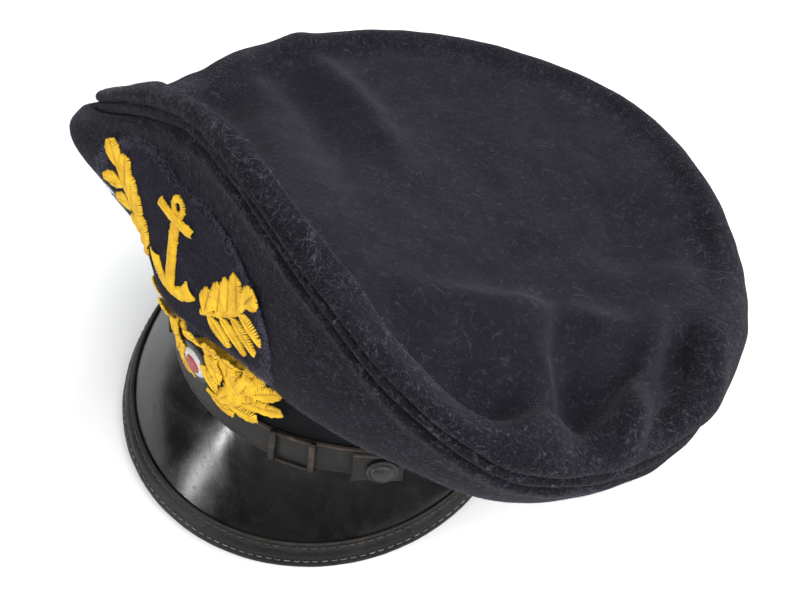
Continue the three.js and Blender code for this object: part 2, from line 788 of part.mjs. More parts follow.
const cockadeSeat = frontPoint(0, COCKADE.z, wreathLift);
const cockadeOut = cockadeSeat.clone().sub(frontPoint(0, COCKADE.z, 0));
const cockade = add("cockade", domedDisc(COCKADE.radius, COCKADE.edge, COCKADE.height), enamel);
layOn(cockade, cockadeSeat, cockadeOut);

// Tip the cap onto the visor's edge and the back of the band, and centre it over the origin.
cap.rotation.x = -restTilt;
cap.updateMatrixWorld(true);
const box = new THREE.Box3().setFromObject(cap, true);
cap.position.set(-(box.min.x + box.max.x) / 2, -(box.min.y + box.max.y) / 2, -box.min.z);

const visorCap = new THREE.Group();
visorCap.add(cap);

export default visorCap;
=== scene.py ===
"""Looks of a soft wool visor cap, built around its packed construction model.

Shapes are worked out in millimetres in the worn frame: the band's lower edge is the plane z = 0, the
front faces -Y and the wearer's left is +X. An angle theta is measured from the front towards the
wearer's left, in radians. Cap.place() turns worn millimetres into the frame's metres.
"""

import math

import bmesh
import bpy
import numpy as np
from mathutils import Matrix, Vector


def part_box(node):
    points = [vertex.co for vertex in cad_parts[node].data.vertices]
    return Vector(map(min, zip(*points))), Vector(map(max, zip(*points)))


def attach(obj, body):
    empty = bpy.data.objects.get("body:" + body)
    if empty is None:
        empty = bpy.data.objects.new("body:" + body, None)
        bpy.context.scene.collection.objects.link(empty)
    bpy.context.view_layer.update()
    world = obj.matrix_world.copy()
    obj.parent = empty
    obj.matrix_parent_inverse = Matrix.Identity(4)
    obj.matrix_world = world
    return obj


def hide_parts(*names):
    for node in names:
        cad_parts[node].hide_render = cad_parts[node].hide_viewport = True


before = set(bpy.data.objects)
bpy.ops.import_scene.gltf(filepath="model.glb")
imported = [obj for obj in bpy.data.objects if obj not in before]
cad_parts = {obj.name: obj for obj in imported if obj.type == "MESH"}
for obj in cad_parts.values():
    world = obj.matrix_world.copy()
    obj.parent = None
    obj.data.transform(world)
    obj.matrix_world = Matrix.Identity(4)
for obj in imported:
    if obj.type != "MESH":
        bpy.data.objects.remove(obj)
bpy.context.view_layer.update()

RANDOM = np.random.default_rng(58)

# ---- Sizes ---------------------------------------------

# Millimetres, and radians for angles.
GAP = 0.35
BAND_HALF_WIDTH, BAND_HALF_LENGTH, BAND_HEIGHT, BAND_FLARE, BAND_WALL = 84.5, 104.0, 43.0, 1.5, 2.5
RESTING_ARC = math.radians(156)
CLOTH = 1.8
PIPING_RADIUS = 2.2
TOP_SAG, ROLL_BULGE, RIM_SOFTNESS, FRONT_HOLLOW, HARMONICS = 4.0, 3.0, 6.5, 1.5, 6
HOLLOW_TURN, HOLLOW_WIDTH = 0.15, 0.68
SIDE_CALM = 3.0
PANEL_STEPS, FOLD_STEPS, FOLD_BLEND = 49, 161, 12
CLOTH_START = PIPING_RADIUS * 0.55
TUCK_DEPTH, TUCK_WIDTH, SHOULDER_AWAY, SHOULDER_WIDTH = 3.0, 2.5, 5.2, 3.4
PUCKER_SIZE, PUCKER_REACH = 0.35, 7.0
SEAM_RADIUS, TOP_RADIUS = 118, 120.0

VISOR_DEPTH, VISOR_SLOPE, VISOR_STEEPER, VISOR_POWER = 49.5, 54.0, 5.0, 0.6
VISOR_HALF_ANGLE, VISOR_END_SHARE, VISOR_PHASE = math.radians(70), 0.985, 80
VISOR_WALL, VISOR_START, VISOR_CROWN = 2.2, 0.7, 1.1
BINDING_WIDTH, BINDING_WALL = 9.0, 0.9
STITCH_PITCH, STITCH_LENGTH, STITCH_DIP = 3.5, 2.5, 0.42

STRAP_HEIGHT, STRAP_WALL, STRAP_FOOT, STRAP_LEAN = 13.0, 1.8, 3.6, 1.0
STRAP_HALF_ANGLE = math.radians(46)
STRAP_END = (math.radians(36), math.radians(46.5))
SLIDER_ANGLE, SLIDER_HALF_WIDTH, SLIDER_CLEAR = math.radians(24), 8.5, 0.15
LOOP_HALF_WIDTH, LOOP_HEIGHT, RAIL_HALF_WIDTH, RAIL_HEIGHT = 1.2, 1.9, 0.7, 1.2
SIDES = ((1, "left"), (-1, "right"))
BUTTON_ANGLE, BUTTON_RADIUS, BUTTON_HEIGHT = math.radians(42), 5.8, 3.6

TRIM_TURN = math.radians(1.5)
PANEL_RADIUS, FRONT_RADIUS = 112.0, 105.0
PATCH_LIFT, PATCH_WALL = 0.7, 1.0
BADGE_LIFT = PATCH_LIFT + PATCH_WALL
WREATH_OUT, WREATH_PATCH_WALL = 0.5, 2.6
WREATH_LIFT = WREATH_OUT + WREATH_PATCH_WALL
COCKADE_Z, COCKADE_RADIUS, COCKADE_HEIGHT = 23.0, 9.0, 3.4

CROWN_COLUMNS = ("theta", "seam_r", "seam_z", "rise", "inset", "belly_r", "belly_z", "drop")
CROWN_ROWS = (
    (-180, 118, 46, 10, 2, 114, 40, 5),
    (-150, 116, 47, 11, 4, 115, 39, 5),
    (-120, 116, 48, 11, 5, 116, 38, 5),
    (-90, 119, 49, 11, 8, 119, 38, 6),
    (-60, 121, 54, 9, 12, 126, 37, 8),
    (-45, 126, 70, 9, 12, 147, 65, 7),
    (-30, 118, 89.5, 9, 11, 152, 83, 7),
    (-15, 107, 107.5, 9, 6, 121, 77, 8),
    (0, 100, 117, 9, 1, 123, 43, 10),
    (15, 106, 119, 9, 4, 118, 45, 10),
    (30, 117, 107, 9, 6, 129, 35, 10),
    (45, 127, 80, 12, 12, 134, 28, 9),
    (60, 136, 62, 11, 10, 139, 21, 8),
    (90, 130, 46, 12, 8, 136, 18, 6),
    (120, 121, 44, 10, 5, 118, 29, 5),
    (150, 114, 47, 11, 3, 115, 38, 5),
)

# Folds of the soft top, seen from above: start, middle and end, half width and height.
FOLD_COLUMNS = ("x0", "y0", "x1", "y1", "x2", "y2", "width", "height")
FOLDS = (
    (-130, 12, -62, 5, 10, -22, 8.5, 6.2),
    (-122, -8, -58, -18, 8, -50, 9.0, -5.4),
    (-126, -31, -58, -53, 2, -74, 8, -5.4),
    (-122, -19, -96, -24, -66, -32, 7, 3.0),
    (-28, -68, 8, -80, 46, -90, 9, -3.0),
    (52, -70, 73, -31, 100, 10, 9, 5.4),
    (80, -24, 102, 10, 114, 54, 11, 4.4),
    (60, -86, 90, -71, 118, -54, 12, -6.5),
    (64, -24, 97, -43, 124, -84, 9.5, 7.2),
    (72, -12, 100, -32, 126, -56, 8, -8.0),
    (92, 26, 112, -11, 132, -46, 5.5, 7.0),
    (102, 22, 120, -4, 136, -40, 4.5, -6.5),
    (108, 34, 128, 8, 142, -20, 5, 5.0),
    (48, 78, 62, 48, 70, 20, 13, -6.5),
    (78, 54, 96, 36, 116, 12, 17, 5.5),
)


def row(columns, values):
    return dict(zip(columns, values))


# ---- Shape functions -----------------------------------


def unit(vectors):
    return vectors / np.maximum(np.linalg.norm(vectors, axis=-1, keepdims=True), 1e-9)


def bend(start, pull, end, t):
    """A curve from start to end that leans towards pull."""
    return (1 - t) ** 2 * start + 2 * t * (1 - t) * pull + t**2 * end


def through(start, middle, end, t):
    """A curve through three points."""
    return (1 - t) * (1 - 2 * t) * start + 4 * t * (1 - t) * middle + t * (2 * t - 1) * end


def path_lengths(line):
    return np.concatenate([[0], np.cumsum(np.linalg.norm(np.diff(line, axis=0), axis=1))])


def along_line(line, where, places):
    """Points on a flat line, whose own points lie at the given places."""
    return np.stack([np.interp(where, places, line[:, k]) for k in (0, 1)], -1)


def crown_value(name, theta):
    """Smooth closed curve through one column of the crown's table."""
    column = CROWN_COLUMNS.index(name)
    x = np.array([values[0] for values in CROWN_ROWS], float)
    y = np.array([values[column] for values in CROWN_ROWS], float)
    x = np.concatenate([[x[-1] - 360], x, [x[0] + 360, x[1] + 360]])
    y = np.concatenate([[y[-1]], y, [y[0], y[1]]])
    turn = (np.degrees(theta) + 180) % 360 - 180
    i = np.clip(np.searchsorted(x, turn, side="right") - 1, 1, len(x) - 3)
    span = x[i + 1] - x[i]
    f = (turn - x[i]) / span
    start = (y[i + 1] - y[i - 1]) / (x[i + 1] - x[i - 1]) * span
    end = (y[i + 2] - y[i]) / (x[i + 2] - x[i]) * span
    return (
        (2 * f**3 - 3 * f**2 + 1) * y[i]
        + (f**3 - 2 * f**2 + f) * start
        + (3 * f**2 - 2 * f**3) * y[i + 1]
        + (f**3 - f**2) * end
    )


def oval_radius(theta):
    return 1 / np.hypot(np.sin(theta) / BAND_HALF_WIDTH, np.cos(theta) / BAND_HALF_LENGTH)


def polar_point(theta, r, z):
    theta, r, z = np.broadcast_arrays(theta, r, z)
    return np.stack([r * np.sin(theta), -r * np.cos(theta), z], -1).astype(float)


def band_point(theta, out, z):
    """A point square off the band's lower outline."""
    theta, out, z = np.broadcast_arrays(theta, out, z)
    base = polar_point(theta, oval_radius(theta), 0)
    normal = unit(base / np.array([BAND_HALF_WIDTH**2, BAND_HALF_LENGTH**2, 1]))
    point = base + normal * out[..., None]
    point[..., 2] = z
    return point


def visor_reach(theta):
    share = np.cos(np.pi / 2 * theta / VISOR_HALF_ANGLE)
    return VISOR_DEPTH * np.clip(share, 1e-4, 1) ** VISOR_POWER


def visor_point(theta, d, lift):
    """A point d down the visor and lift square above its straight slope."""
    slope = np.radians(VISOR_SLOPE + VISOR_STEEPER * (theta / VISOR_HALF_ANGLE) ** 2)
    out = d * np.cos(slope) + lift * np.sin(slope)
    return band_point(theta, out, lift * np.cos(slope) - d * np.sin(slope))


def visor_crown(theta, d):
    """How far the moulded visor bows above its straight slope."""
    return VISOR_CROWN * np.sin(np.pi * np.clip(d / visor_reach(theta), 0, 1))


def strap_point(theta, up, out):
    """A point on the strap: up from its lower edge on the visor, and out from its back."""
    theta, up, out = np.broadcast_arrays(theta, up, out)
    foot = visor_point(theta, STRAP_FOOT, GAP)
    rise = unit(band_point(theta, STRAP_LEAN, STRAP_HEIGHT - STRAP_FOOT) - foot)
    along = band_point(theta + 0.01, 0, 0) - band_point(theta - 0.01, 0, 0)
    normal = unit(np.cross(along, rise))
    return foot + rise * up[..., None] + normal * out[..., None]


def hollow_drop(theta):
    """Depth of the top's skin below the rim, deepest behind the front."""
    front = np.exp(-(((theta - HOLLOW_TURN) / HOLLOW_WIDTH) ** 2))
    return crown_value("drop", theta) * (1 + FRONT_HOLLOW * front)


def ridge(theta):
    r = crown_value("seam_r", theta) - crown_value("inset", theta)
    return r, crown_value("seam_z", theta) + crown_value("rise", theta)


def harmonic_terms(r, theta):
    """Smooth height patterns over the top, as columns."""
    share = np.asarray(r) / TOP_RADIUS
    terms = [np.ones_like(share * theta)]
    for k in range(1, HARMONICS + 1):
        terms += [share**k * np.cos(k * theta), share**k * np.sin(k * theta)]
    return np.stack(terms, -1)


def fit_top_skin():
    theta = np.linspace(-np.pi, np.pi, 241)[:-1]
    r, z = ridge(theta)
    goal = z - hollow_drop(theta)
    return np.linalg.lstsq(harmonic_terms(r, theta), goal, rcond=None)[0]


TOP_SKIN = fit_top_skin()


def top_height(theta, r):
    """Height of the top: an even skin, sunk behind the rim, that sags towards its middle."""
    ridge_r, ridge_z = ridge(theta)
    drop = hollow_drop(theta)
    share = r / ridge_r
    skin = harmonic_terms(r, theta) @ TOP_SKIN
    miss = ridge_z - drop - harmonic_terms(ridge_r, theta) @ TOP_SKIN
    correction = miss * np.clip((share - 0.5) / 0.5, 0, 1) ** 2
    rim = drop * np.exp(-(((ridge_r - r) / RIM_SOFTNESS) ** 2))
    return skin + correction - TOP_SAG * (1 - share**2) + rim


def fold_height(x, y):
    """Height of all folds, each one fading out towards its ends and its sides."""
    total = np.zeros_like(x)
    t = np.linspace(0, 1, FOLD_STEPS)
    for values in FOLDS:
        fold = row(FOLD_COLUMNS, values)
        line_x, line_y = (through(fold[k + "0"], fold[k + "1"], fold[k + "2"], t) for k in "xy")
        away = np.hypot(x[..., None] - line_x, y[..., None] - line_y)
        near = np.exp(-(away**2 - away.min(-1, keepdims=True) ** 2) / FOLD_BLEND)
        where = (near @ t) / near.sum(-1)
        fade = np.sin(np.pi * where)
        total += fold["height"] * fade * np.exp(-((away.min(-1) / fold["width"]) ** 2))
    return total


def ripple(x, y, z):
    """Slight unevenness of handled cloth."""
    slow = np.sin(x / 17 + 1.3 * np.sin(y / 23)) * np.sin(y / 19 + z / 15 + 0.7)
    quick = np.sin(x / 6.1 + y / 7.3 + z / 9) * np.sin(y / 5.2 - x / 8.7)
    return 0.45 * slow + 0.12 * quick


def side_panel(theta):
    """Radius and height along the side panel, from the band's top to the seam."""
    t = np.linspace(0, 1, PANEL_STEPS)
    theta = np.asarray(theta)[..., None]
    r0 = oval_radius(theta) + BAND_FLARE + GAP
    r = bend(r0, crown_value("belly_r", theta), crown_value("seam_r", theta), t)
    z = bend(BAND_HEIGHT + GAP, crown_value("belly_z", theta), crown_value("seam_z", theta), t)
    return r, z


def arc_positions(r, z):
    steps = np.hypot(np.diff(r, axis=-1), np.diff(z, axis=-1))
    return np.concatenate([np.zeros_like(r[..., :1]), np.cumsum(steps, -1)], -1)


def along_curve(r, z, distance):
    """Points at given distances along each row's curve."""
    arc = arc_positions(r, z)
    out_r = np.empty(distance.shape)
    out_z = np.empty(distance.shape)
    for i in range(len(r)):
        out_r[i] = np.interp(distance[i], arc[i], r[i])
        out_z[i] = np.interp(distance[i], arc[i], z[i])
    return out_r, out_z


def panel_point(u, v, lift):
    """A point on the front panel: u along the front, v up from the band, lift off the cloth."""
    u, v, lift = (np.asarray(a, float) for a in np.broadcast_arrays(u, v, lift))
    shape = u.shape
    u, v, lift = u.ravel(), v.ravel(), lift.ravel()
    theta = TRIM_TURN + u / PANEL_RADIUS
    r, z = side_panel(theta)
    here_r, here_z = along_curve(r, z, v[:, None])
    next_r, next_z = along_curve(r, z, v[:, None] + 0.4)
    dr, dz = (next_r - here_r)[:, 0], (next_z - here_z)[:, 0]
    size = np.maximum(np.hypot(dr, dz), 1e-6)
    point = polar_point(theta, here_r[:, 0] + dz / size * lift, here_z[:, 0] - dr / size * lift)
    return point.reshape(*shape, 3)


def front_point(u, z, out):
    """A point before the band's front: u along it, z up, out from the band."""
    u, z, out = np.broadcast_arrays(u, z, out)
    return band_point(TRIM_TURN + u / FRONT_RADIUS, out + BAND_FLARE * z / BAND_HEIGHT, z)


# ---- From worn millimetres to the frame ----------------


class Cap:
    """The turn and shift that lay the worn cap on its resting surface."""

    def __init__(self):
        theta = VISOR_HALF_ANGLE * VISOR_END_SHARE * np.linspace(-1, 1, 161)
        foot = visor_point(theta, visor_reach(theta) + GAP + BINDING_WALL, -VISOR_WALL - GAP - BINDING_WALL)
        self.band_foot = band_point(RESTING_ARC, 0.0, 0.0)
        self.tilt = np.arctan2(-foot[:, 2], self.band_foot[1] - foot[:, 1]).max()
        c, s = math.cos(self.tilt), math.sin(self.tilt)
        self.turn = np.array([[1, 0, 0], [0, c, s], [0, -s, c]])
        angles = np.radians(np.arange(-180, 180, 6))
        rims = [band_point(angles, 0.0, 0.0), band_point(angles, BAND_FLARE, BAND_HEIGHT)]
        band = np.concatenate(rims) @ self.turn.T
        low, high = (np.array(corner) * 1000 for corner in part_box("cap_band"))
        middle_x = (low[0] + high[0]) / 2
        self.shift = np.array([middle_x, low[1] - band[:, 1].min(), high[2] - band[:, 2].max()])

    def rest_height(self, y):
        return (y - self.band_foot[1]) * math.tan(self.tilt)

    def place(self, points):
        return (np.asarray(points, float) @ self.turn.T + self.shift) / 1000


CAP = Cap()


# ---- Mesh helpers --------------------------------------


def grid_faces(rows, columns, ring_rows=False, ring_columns=False):
    """Quads of a grid whose point (i, j) has index i * columns + j."""
    i = np.arange(rows if ring_rows else rows - 1)
    j = np.arange(columns if ring_columns else columns - 1)
    i, j = np.meshgrid(i, j, indexing="ij")
    i1, j1 = (i + 1) % rows, (j + 1) % columns
    quads = np.stack([i * columns + j, i1 * columns + j, i1 * columns + j1, i * columns + j1], -1)
    return quads.reshape(-1, 4)


def add_object(name, data):
    made = bpy.data.objects.new(name, data)
    bpy.context.scene.collection.objects.link(made)
    return made


def make_piece(name, points, faces, material, nodes, uv=None, face_materials=None):
    """A mesh piece from worn millimetres, riding on the cap's one body."""
    mesh = bpy.data.meshes.new(name)
    points = CAP.place(np.reshape(points, (-1, 3)))
    mesh.from_pydata(points.tolist(), [], [list(map(int, face)) for face in faces])
    if uv is not None:
        layer = mesh.uv_layers.new(name="chart")
        corners = np.empty(len(mesh.loops), np.int32)
        mesh.loops.foreach_get("vertex_index", corners)
        layer.data.foreach_set("uv", np.reshape(uv, (-1, 2)).astype(np.float32)[corners].ravel())
    materials = material if isinstance(material, (list, tuple)) else [material]
    for entry in materials:
        mesh.materials.append(entry)
    if face_materials is not None:
        mesh.polygons.foreach_set("material_index", np.asarray(face_materials, np.int32))
    solid = bmesh.new()
    solid.from_mesh(mesh)
    bmesh.ops.recalc_face_normals(solid, faces=solid.faces)
    solid.to_mesh(mesh)
    solid.free()
    mesh.shade_smooth()
    piece = add_object(name, mesh)
    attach(piece, "root")
    if nodes:
        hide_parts(*nodes)


def sweep_faces(grid, ring=False):
    """Faces of a grid of closed sections, joined in a ring or capped at both ends."""
    stations, size = grid.shape[:2]
    faces = grid_faces(stations, size, ring_rows=ring, ring_columns=True).tolist()
    if not ring:
        last = (stations - 1) * size
        faces.append(list(range(size))[::-1])
        faces.append([last + k for k in range(size)])
    return faces


def dome_faces(count, size, split):
    """Faces of closed sections round two poles, which are the last two points.

    Point split of a section is the last one before the outer pole, and the next the first after
    the inner pole.
    """
    faces = grid_faces(count, size, ring_rows=True, ring_columns=True)
    faces = faces[faces[:, 0] % size != split].tolist()
    for i in range(count):
        j = (i + 1) % count
        faces.append([i * size + split, j * size + split, count * size])
        faces.append([j * size + split + 1, i * size + split + 1, count * size + 1])
    return faces


def rounded_box(x0, x1, y0, y1, radius, steps=3):
    """Closed outline of a rectangle with round corners."""
    turns = np.linspace(0, np.pi / 2, steps + 1)
    outline = []
    for cx, cy, start in (
        (x1 - radius, y1 - radius, 0),
        (x0 + radius, y1 - radius, np.pi / 2),
        (x0 + radius, y0 + radius, np.pi),
        (x1 - radius, y0 + radius, 1.5 * np.pi),
    ):
        outline += [(cx + radius * math.cos(start + t), cy + radius * math.sin(start + t)) for t in turns]
    return np.array(outline)


def grid_normals(grid):
    """Unit normals of a grid of points closed along its first axis."""
    around = np.roll(grid, -1, 0) - np.roll(grid, 1, 0)
    along = np.gradient(grid, axis=1)
    return unit(np.cross(around, along))


def tubes(paths, radius, sides=6, taper=1.0):
    """Closed round strands along paths of shape (count, steps, 3). Radius may differ per strand."""
    paths = np.asarray(paths, float)
    count, steps = paths.shape[:2]
    tangent = unit(np.gradient(paths, axis=1))
    reference = np.where(np.abs(tangent[..., 2:]) < 0.9, [0.0, 0.0, 1.0], [1.0, 0.0, 0.0])
    side = unit(np.cross(tangent, reference))
    over = np.cross(side, tangent)
    turn = np.arange(sides) * 2 * np.pi / sides
    width = np.broadcast_to(radius, (count,))[:, None] * np.linspace(1, taper, steps)
    ring = np.cos(turn)[:, None] * side[..., None, :] + np.sin(turn)[:, None] * over[..., None, :]
    points = paths[..., None, :] + ring * width[..., None, None]
    block = steps * sides
    one = grid_faces(steps, sides, ring_columns=True)
    offsets = (np.arange(count) * block)[:, None, None]
    quads = (one[None] + offsets).reshape(-1, 4).tolist()
    cap = np.arange(sides)
    caps = np.stack([cap[::-1], (steps - 1) * sides + cap])
    ends = (caps[None] + offsets).reshape(-1, sides).tolist()
    return points.reshape(-1, 3), quads + ends


def join(parts):
    """Points and faces of several meshes as those of one."""
    points, faces, count = [], [], 0
    for part_points, part_faces in parts:
        points.append(part_points.reshape(-1, 3))
        faces += [[k + count for k in face] for face in part_faces]
        count += len(points[-1])
    return np.concatenate(points), faces


# ---- Materials -----------------------------------------

SOCKETS = {
    "color": "Base Color",
    "rough": "Roughness",
    "normal": "Normal",
    "specular": "Specular IOR Level",
    "sheen": "Sheen Weight",
    "sheen_rough": "Sheen Roughness",
    "sheen_tint": "Sheen Tint",
}


def shade(color, share):
    return tuple(c * share for c in color)


def opaque(color):
    """A colour with its alpha; a socket is left as it is."""
    return color if isinstance(color, bpy.types.NodeSocket) else (*color, 1)


class Finish:
    """A material with a principled shader and short ways to add nodes."""

    def __init__(self, name, **values):
        self.material = bpy.data.materials.new(name)
        self.material.use_nodes = True
        self.nodes = self.material.node_tree.nodes
        self.links = self.material.node_tree.links
        self.shader = self.nodes["Principled BSDF"]
        for key, value in values.items():
            self.shader.inputs[SOCKETS[key]].default_value = value
        self.where = self.nodes.new("ShaderNodeTexCoord").outputs["Object"]

    def node(self, kind, inputs, **settings):
        node = self.nodes.new(kind)
        for key, value in settings.items():
            setattr(node, key, value)
        for key, value in inputs.items():
            if isinstance(value, bpy.types.NodeSocket):
                self.links.new(value, node.inputs[key])
            else:
                node.inputs[key].default_value = value
        return node

    def noise(self, size_mm, detail=3.0, roughness=0.55, distortion=0.0, vector=None):
        inputs = {"Vector": vector or self.where, "Scale": 1000 / size_mm}
        inputs.update({"Detail": detail, "Roughness": roughness, "Distortion": distortion})
        return self.node("ShaderNodeTexNoise", inputs).outputs["Fac"]

    def stretched(self, scale, rotation, vector=None):
        inputs = {"Vector": vector or self.where, "Scale": scale, "Rotation": rotation}
        return self.node("ShaderNodeMapping", inputs).outputs["Vector"]

    def chart_y(self):
        """The second number of the piece's chart."""
        uv = self.node("ShaderNodeUVMap", {}, uv_map="chart").outputs["UV"]
        return self.node("ShaderNodeSeparateXYZ", {"Vector": uv}).outputs["Y"]

    def fade(self, value, low, high, start=0.0, end=1.0):
        inputs = {"Value": value, "From Min": low, "From Max": high, "To Min": start, "To Max": end}
        return self.node("ShaderNodeMapRange", inputs).outputs["Result"]

    def math(self, operation, a, b=0.0):
        return self.node("ShaderNodeMath", {0: a, 1: b}, operation=operation).outputs[0]

    def plus(self, a, b):
        return self.math("ADD", a, b)

    def times(self, a, b):
        return self.math("MULTIPLY", a, b)

    def mix(self, share, a, b, blend="MIX"):
        inputs = {0: share, 6: opaque(a), 7: opaque(b)}
        return self.node("ShaderNodeMix", inputs, data_type="RGBA", blend_type=blend).outputs[2]

    def bump(self, height, distance_mm, strength):
        inputs = {"Height": height, "Strength": strength, "Distance": distance_mm / 1000}
        return self.node("ShaderNodeBump", inputs).outputs["Normal"]

    def set(self, **sockets):
        for key, value in sockets.items():
            self.links.new(value, self.shader.inputs[SOCKETS[key]])
        return self.material


def wool(name, dark, light, nap, sheen, nap_and_painted_light_near_seam):
    """Milled wool: mottled cloth with a raised, matted nap that is rougher and painted lighter near the
    seam.
    """
    tint = (0.72, 0.74, 0.85, 1)
    finish = Finish(name, rough=0.95, specular=0.08, sheen=sheen, sheen_rough=0.35, sheen_tint=tint)
    drift = finish.node("ShaderNodeTexNoise", {"Vector": finish.where, "Scale": 260.0, "Detail": 2.0})
    bent = finish.mix(0.006, finish.where, drift.outputs["Color"], "ADD")
    hairs = [
        finish.noise(size, 4, 0.75, 0.8, finish.stretched(scale, turn, bent))
        for size, scale, turn in (
            (1.9, (1, 0.35, 0.8), (0, 0, 0.5)),
            (1.4, (0.4, 1, 0.7), (0.4, 0, 2.0)),
        )
    ]
    hair = finish.math("MAXIMUM", hairs[0], hairs[1])
    grain = finish.noise(0.8, 3, 0.7)
    knots = finish.noise(2.6, 3, 0.6, 0.5)
    cloud = finish.noise(16, 3, 0.6)
    nap_and_painted_light = 1.0
    # The fuller, lighter nap near the seam is part real nap, part painted light on the ridge's front slope.
    if nap_and_painted_light_near_seam:
        from_seam = finish.plus(finish.chart_y(), finish.times(cloud, 20))
        nap_and_painted_light = finish.fade(from_seam, 14, 40, 1.0, 0.3)
    tone = finish.mix(finish.fade(cloud, 0.35, 0.7), dark, light)
    tone = finish.mix(finish.times(finish.fade(hair, 0.56, 0.74), nap_and_painted_light), tone, nap)
    grit = finish.times(finish.fade(grain, 0.38, 0.6, 0.72, 0.0), nap_and_painted_light)
    tone = finish.mix(grit, tone, shade(dark, 0.18))
    lint = finish.times(finish.fade(finish.noise(1.3, 2, 0.5, 1.8), 0.74, 0.8), 0.16)
    tone = finish.mix(finish.times(lint, nap_and_painted_light), tone, (0.25, 0.25, 0.28))
    relief = finish.plus(hair, finish.times(grain, 0.8))
    relief = finish.plus(relief, finish.times(knots, 0.9))
    relief = finish.times(relief, nap_and_painted_light)
    return finish.set(color=tone, normal=finish.bump(relief, 0.9, 0.85))


def mohair(name):
    """Black mohair braid with fine ribs round the band."""
    tint = (0.6, 0.6, 0.7, 1)
    finish = Finish(name, rough=0.85, specular=0.1, sheen=0.03, sheen_rough=0.4, sheen_tint=tint)
    inputs = {"Vector": finish.where, "Scale": 330.0, "Distortion": 1.2, "Detail": 2.0}
    rib = finish.node("ShaderNodeTexWave", inputs, bands_direction="Z")
    fuzz = finish.noise(0.5, 3, 0.6)
    tone = finish.mix(finish.fade(fuzz, 0.4, 0.75), (0.0007, 0.0007, 0.0008), (0.0028, 0.0028, 0.0034))
    relief = finish.plus(rib.outputs["Fac"], finish.times(fuzz, 0.6))
    return finish.set(color=tone, normal=finish.bump(relief, 0.5, 0.7))


def lacquer(name, color, wear, gloss=0.13):
    """Glossy black lacquer with soft haze, fine scuffs and a little dust."""
    finish = Finish(name, rough=0.2, specular=0.42)
    haze = finish.noise(22, 4, 0.6, 0.8)
    scuff = finish.noise(3, 5, 0.7, 0.5, finish.stretched((1, 4, 1), (0.2, 0.3, 0.6)))
    dust = finish.fade(finish.noise(1.1, 2, 0.5), 0.7, 0.8)
    rough = finish.fade(haze, 0.3, 0.75, gloss, gloss + 0.19)
    rough = finish.plus(rough, finish.fade(scuff, 0.55, 0.8, 0.0, wear))
    tone = finish.mix(finish.fade(haze, 0.35, 0.75), color, tuple(c * 1.8 + 0.0035 for c in color))
    tone = finish.mix(finish.times(dust, 0.05), tone, (0.25, 0.25, 0.25))
    relief = finish.plus(haze, finish.times(scuff, 0.12))
    return finish.set(color=tone, rough=rough, normal=finish.bump(relief, 0.5, 0.22))


def leather(name, color, worn, edge_share=0.0):
    """Black leather with grain and cracks; worn brown along the chart's long edges if asked."""
    finish = Finish(name, rough=0.45, specular=0.25)
    pores = finish.node("ShaderNodeTexVoronoi", {"Vector": finish.where, "Scale": 1100.0})
    grain = finish.noise(0.8, 4, 0.6)
    wear = finish.noise(7, 5, 0.65, 0.8)
    patches = finish.fade(wear, 0.5, 0.72, 0.0, 0.75)
    if edge_share:
        from_middle = finish.math("ABSOLUTE", finish.math("SUBTRACT", finish.chart_y(), 0.5))
        rag = finish.plus(from_middle, finish.fade(wear, 0.2, 0.8, -0.04, 0.06))
        edge = finish.fade(rag, 0.5 - edge_share, 0.5)
        patches = finish.math("MAXIMUM", finish.times(patches, 0.45), edge)
    tone = finish.mix(patches, color, worn)
    tone = finish.mix(finish.fade(grain, 0.55, 0.8, 0.0, 0.4), tone, shade(color, 0.4))
    relief = finish.plus(finish.times(pores.outputs["Distance"], 0.5), grain)
    rough = finish.fade(wear, 0.3, 0.7, 0.34, 0.58)
    return finish.set(color=tone, rough=rough, normal=finish.bump(relief, 0.25, 0.5))


def thread(name, dark, light):
    """Twisted embroidery thread with tonal variation."""
    finish = Finish(name, rough=0.55, specular=0.35, sheen=0.15, sheen_rough=0.3)
    strand = finish.noise(0.35, 3, 0.6)
    drift = finish.noise(5, 3, 0.5)
    tone = finish.mix(finish.fade(drift, 0.3, 0.7), dark, light)
    tone = finish.mix(finish.fade(strand, 0.45, 0.75, 0.0, 0.45), tone, shade(dark, 0.5))
    return finish.set(color=tone, normal=finish.bump(strand, 0.18, 0.6))


def enamel(name, color):
    finish = Finish(name, specular=0.5)
    blotch = finish.noise(1.6, 4, 0.6)
    tone = finish.mix(finish.fade(blotch, 0.45, 0.8), color, shade(color, 0.6))
    rough = finish.fade(blotch, 0.3, 0.7, 0.35, 0.6)
    return finish.set(color=tone, rough=rough, normal=finish.bump(blotch, 0.1, 0.4))


def backdrop(name):
    finish = Finish(name, rough=0.7, specular=0.1)
    grain = finish.fade(finish.noise(60, 3), 0.3, 0.7)
    return finish.set(color=finish.mix(grain, (0.80, 0.80, 0.80), (0.82, 0.82, 0.82)))


NAVY = ((0.0074, 0.0072, 0.0107), (0.0118, 0.0116, 0.0163), (0.082, 0.082, 0.104))
PURPLE = ((0.0085, 0.0073, 0.0145), (0.0135, 0.0115, 0.022), (0.045, 0.041, 0.065))
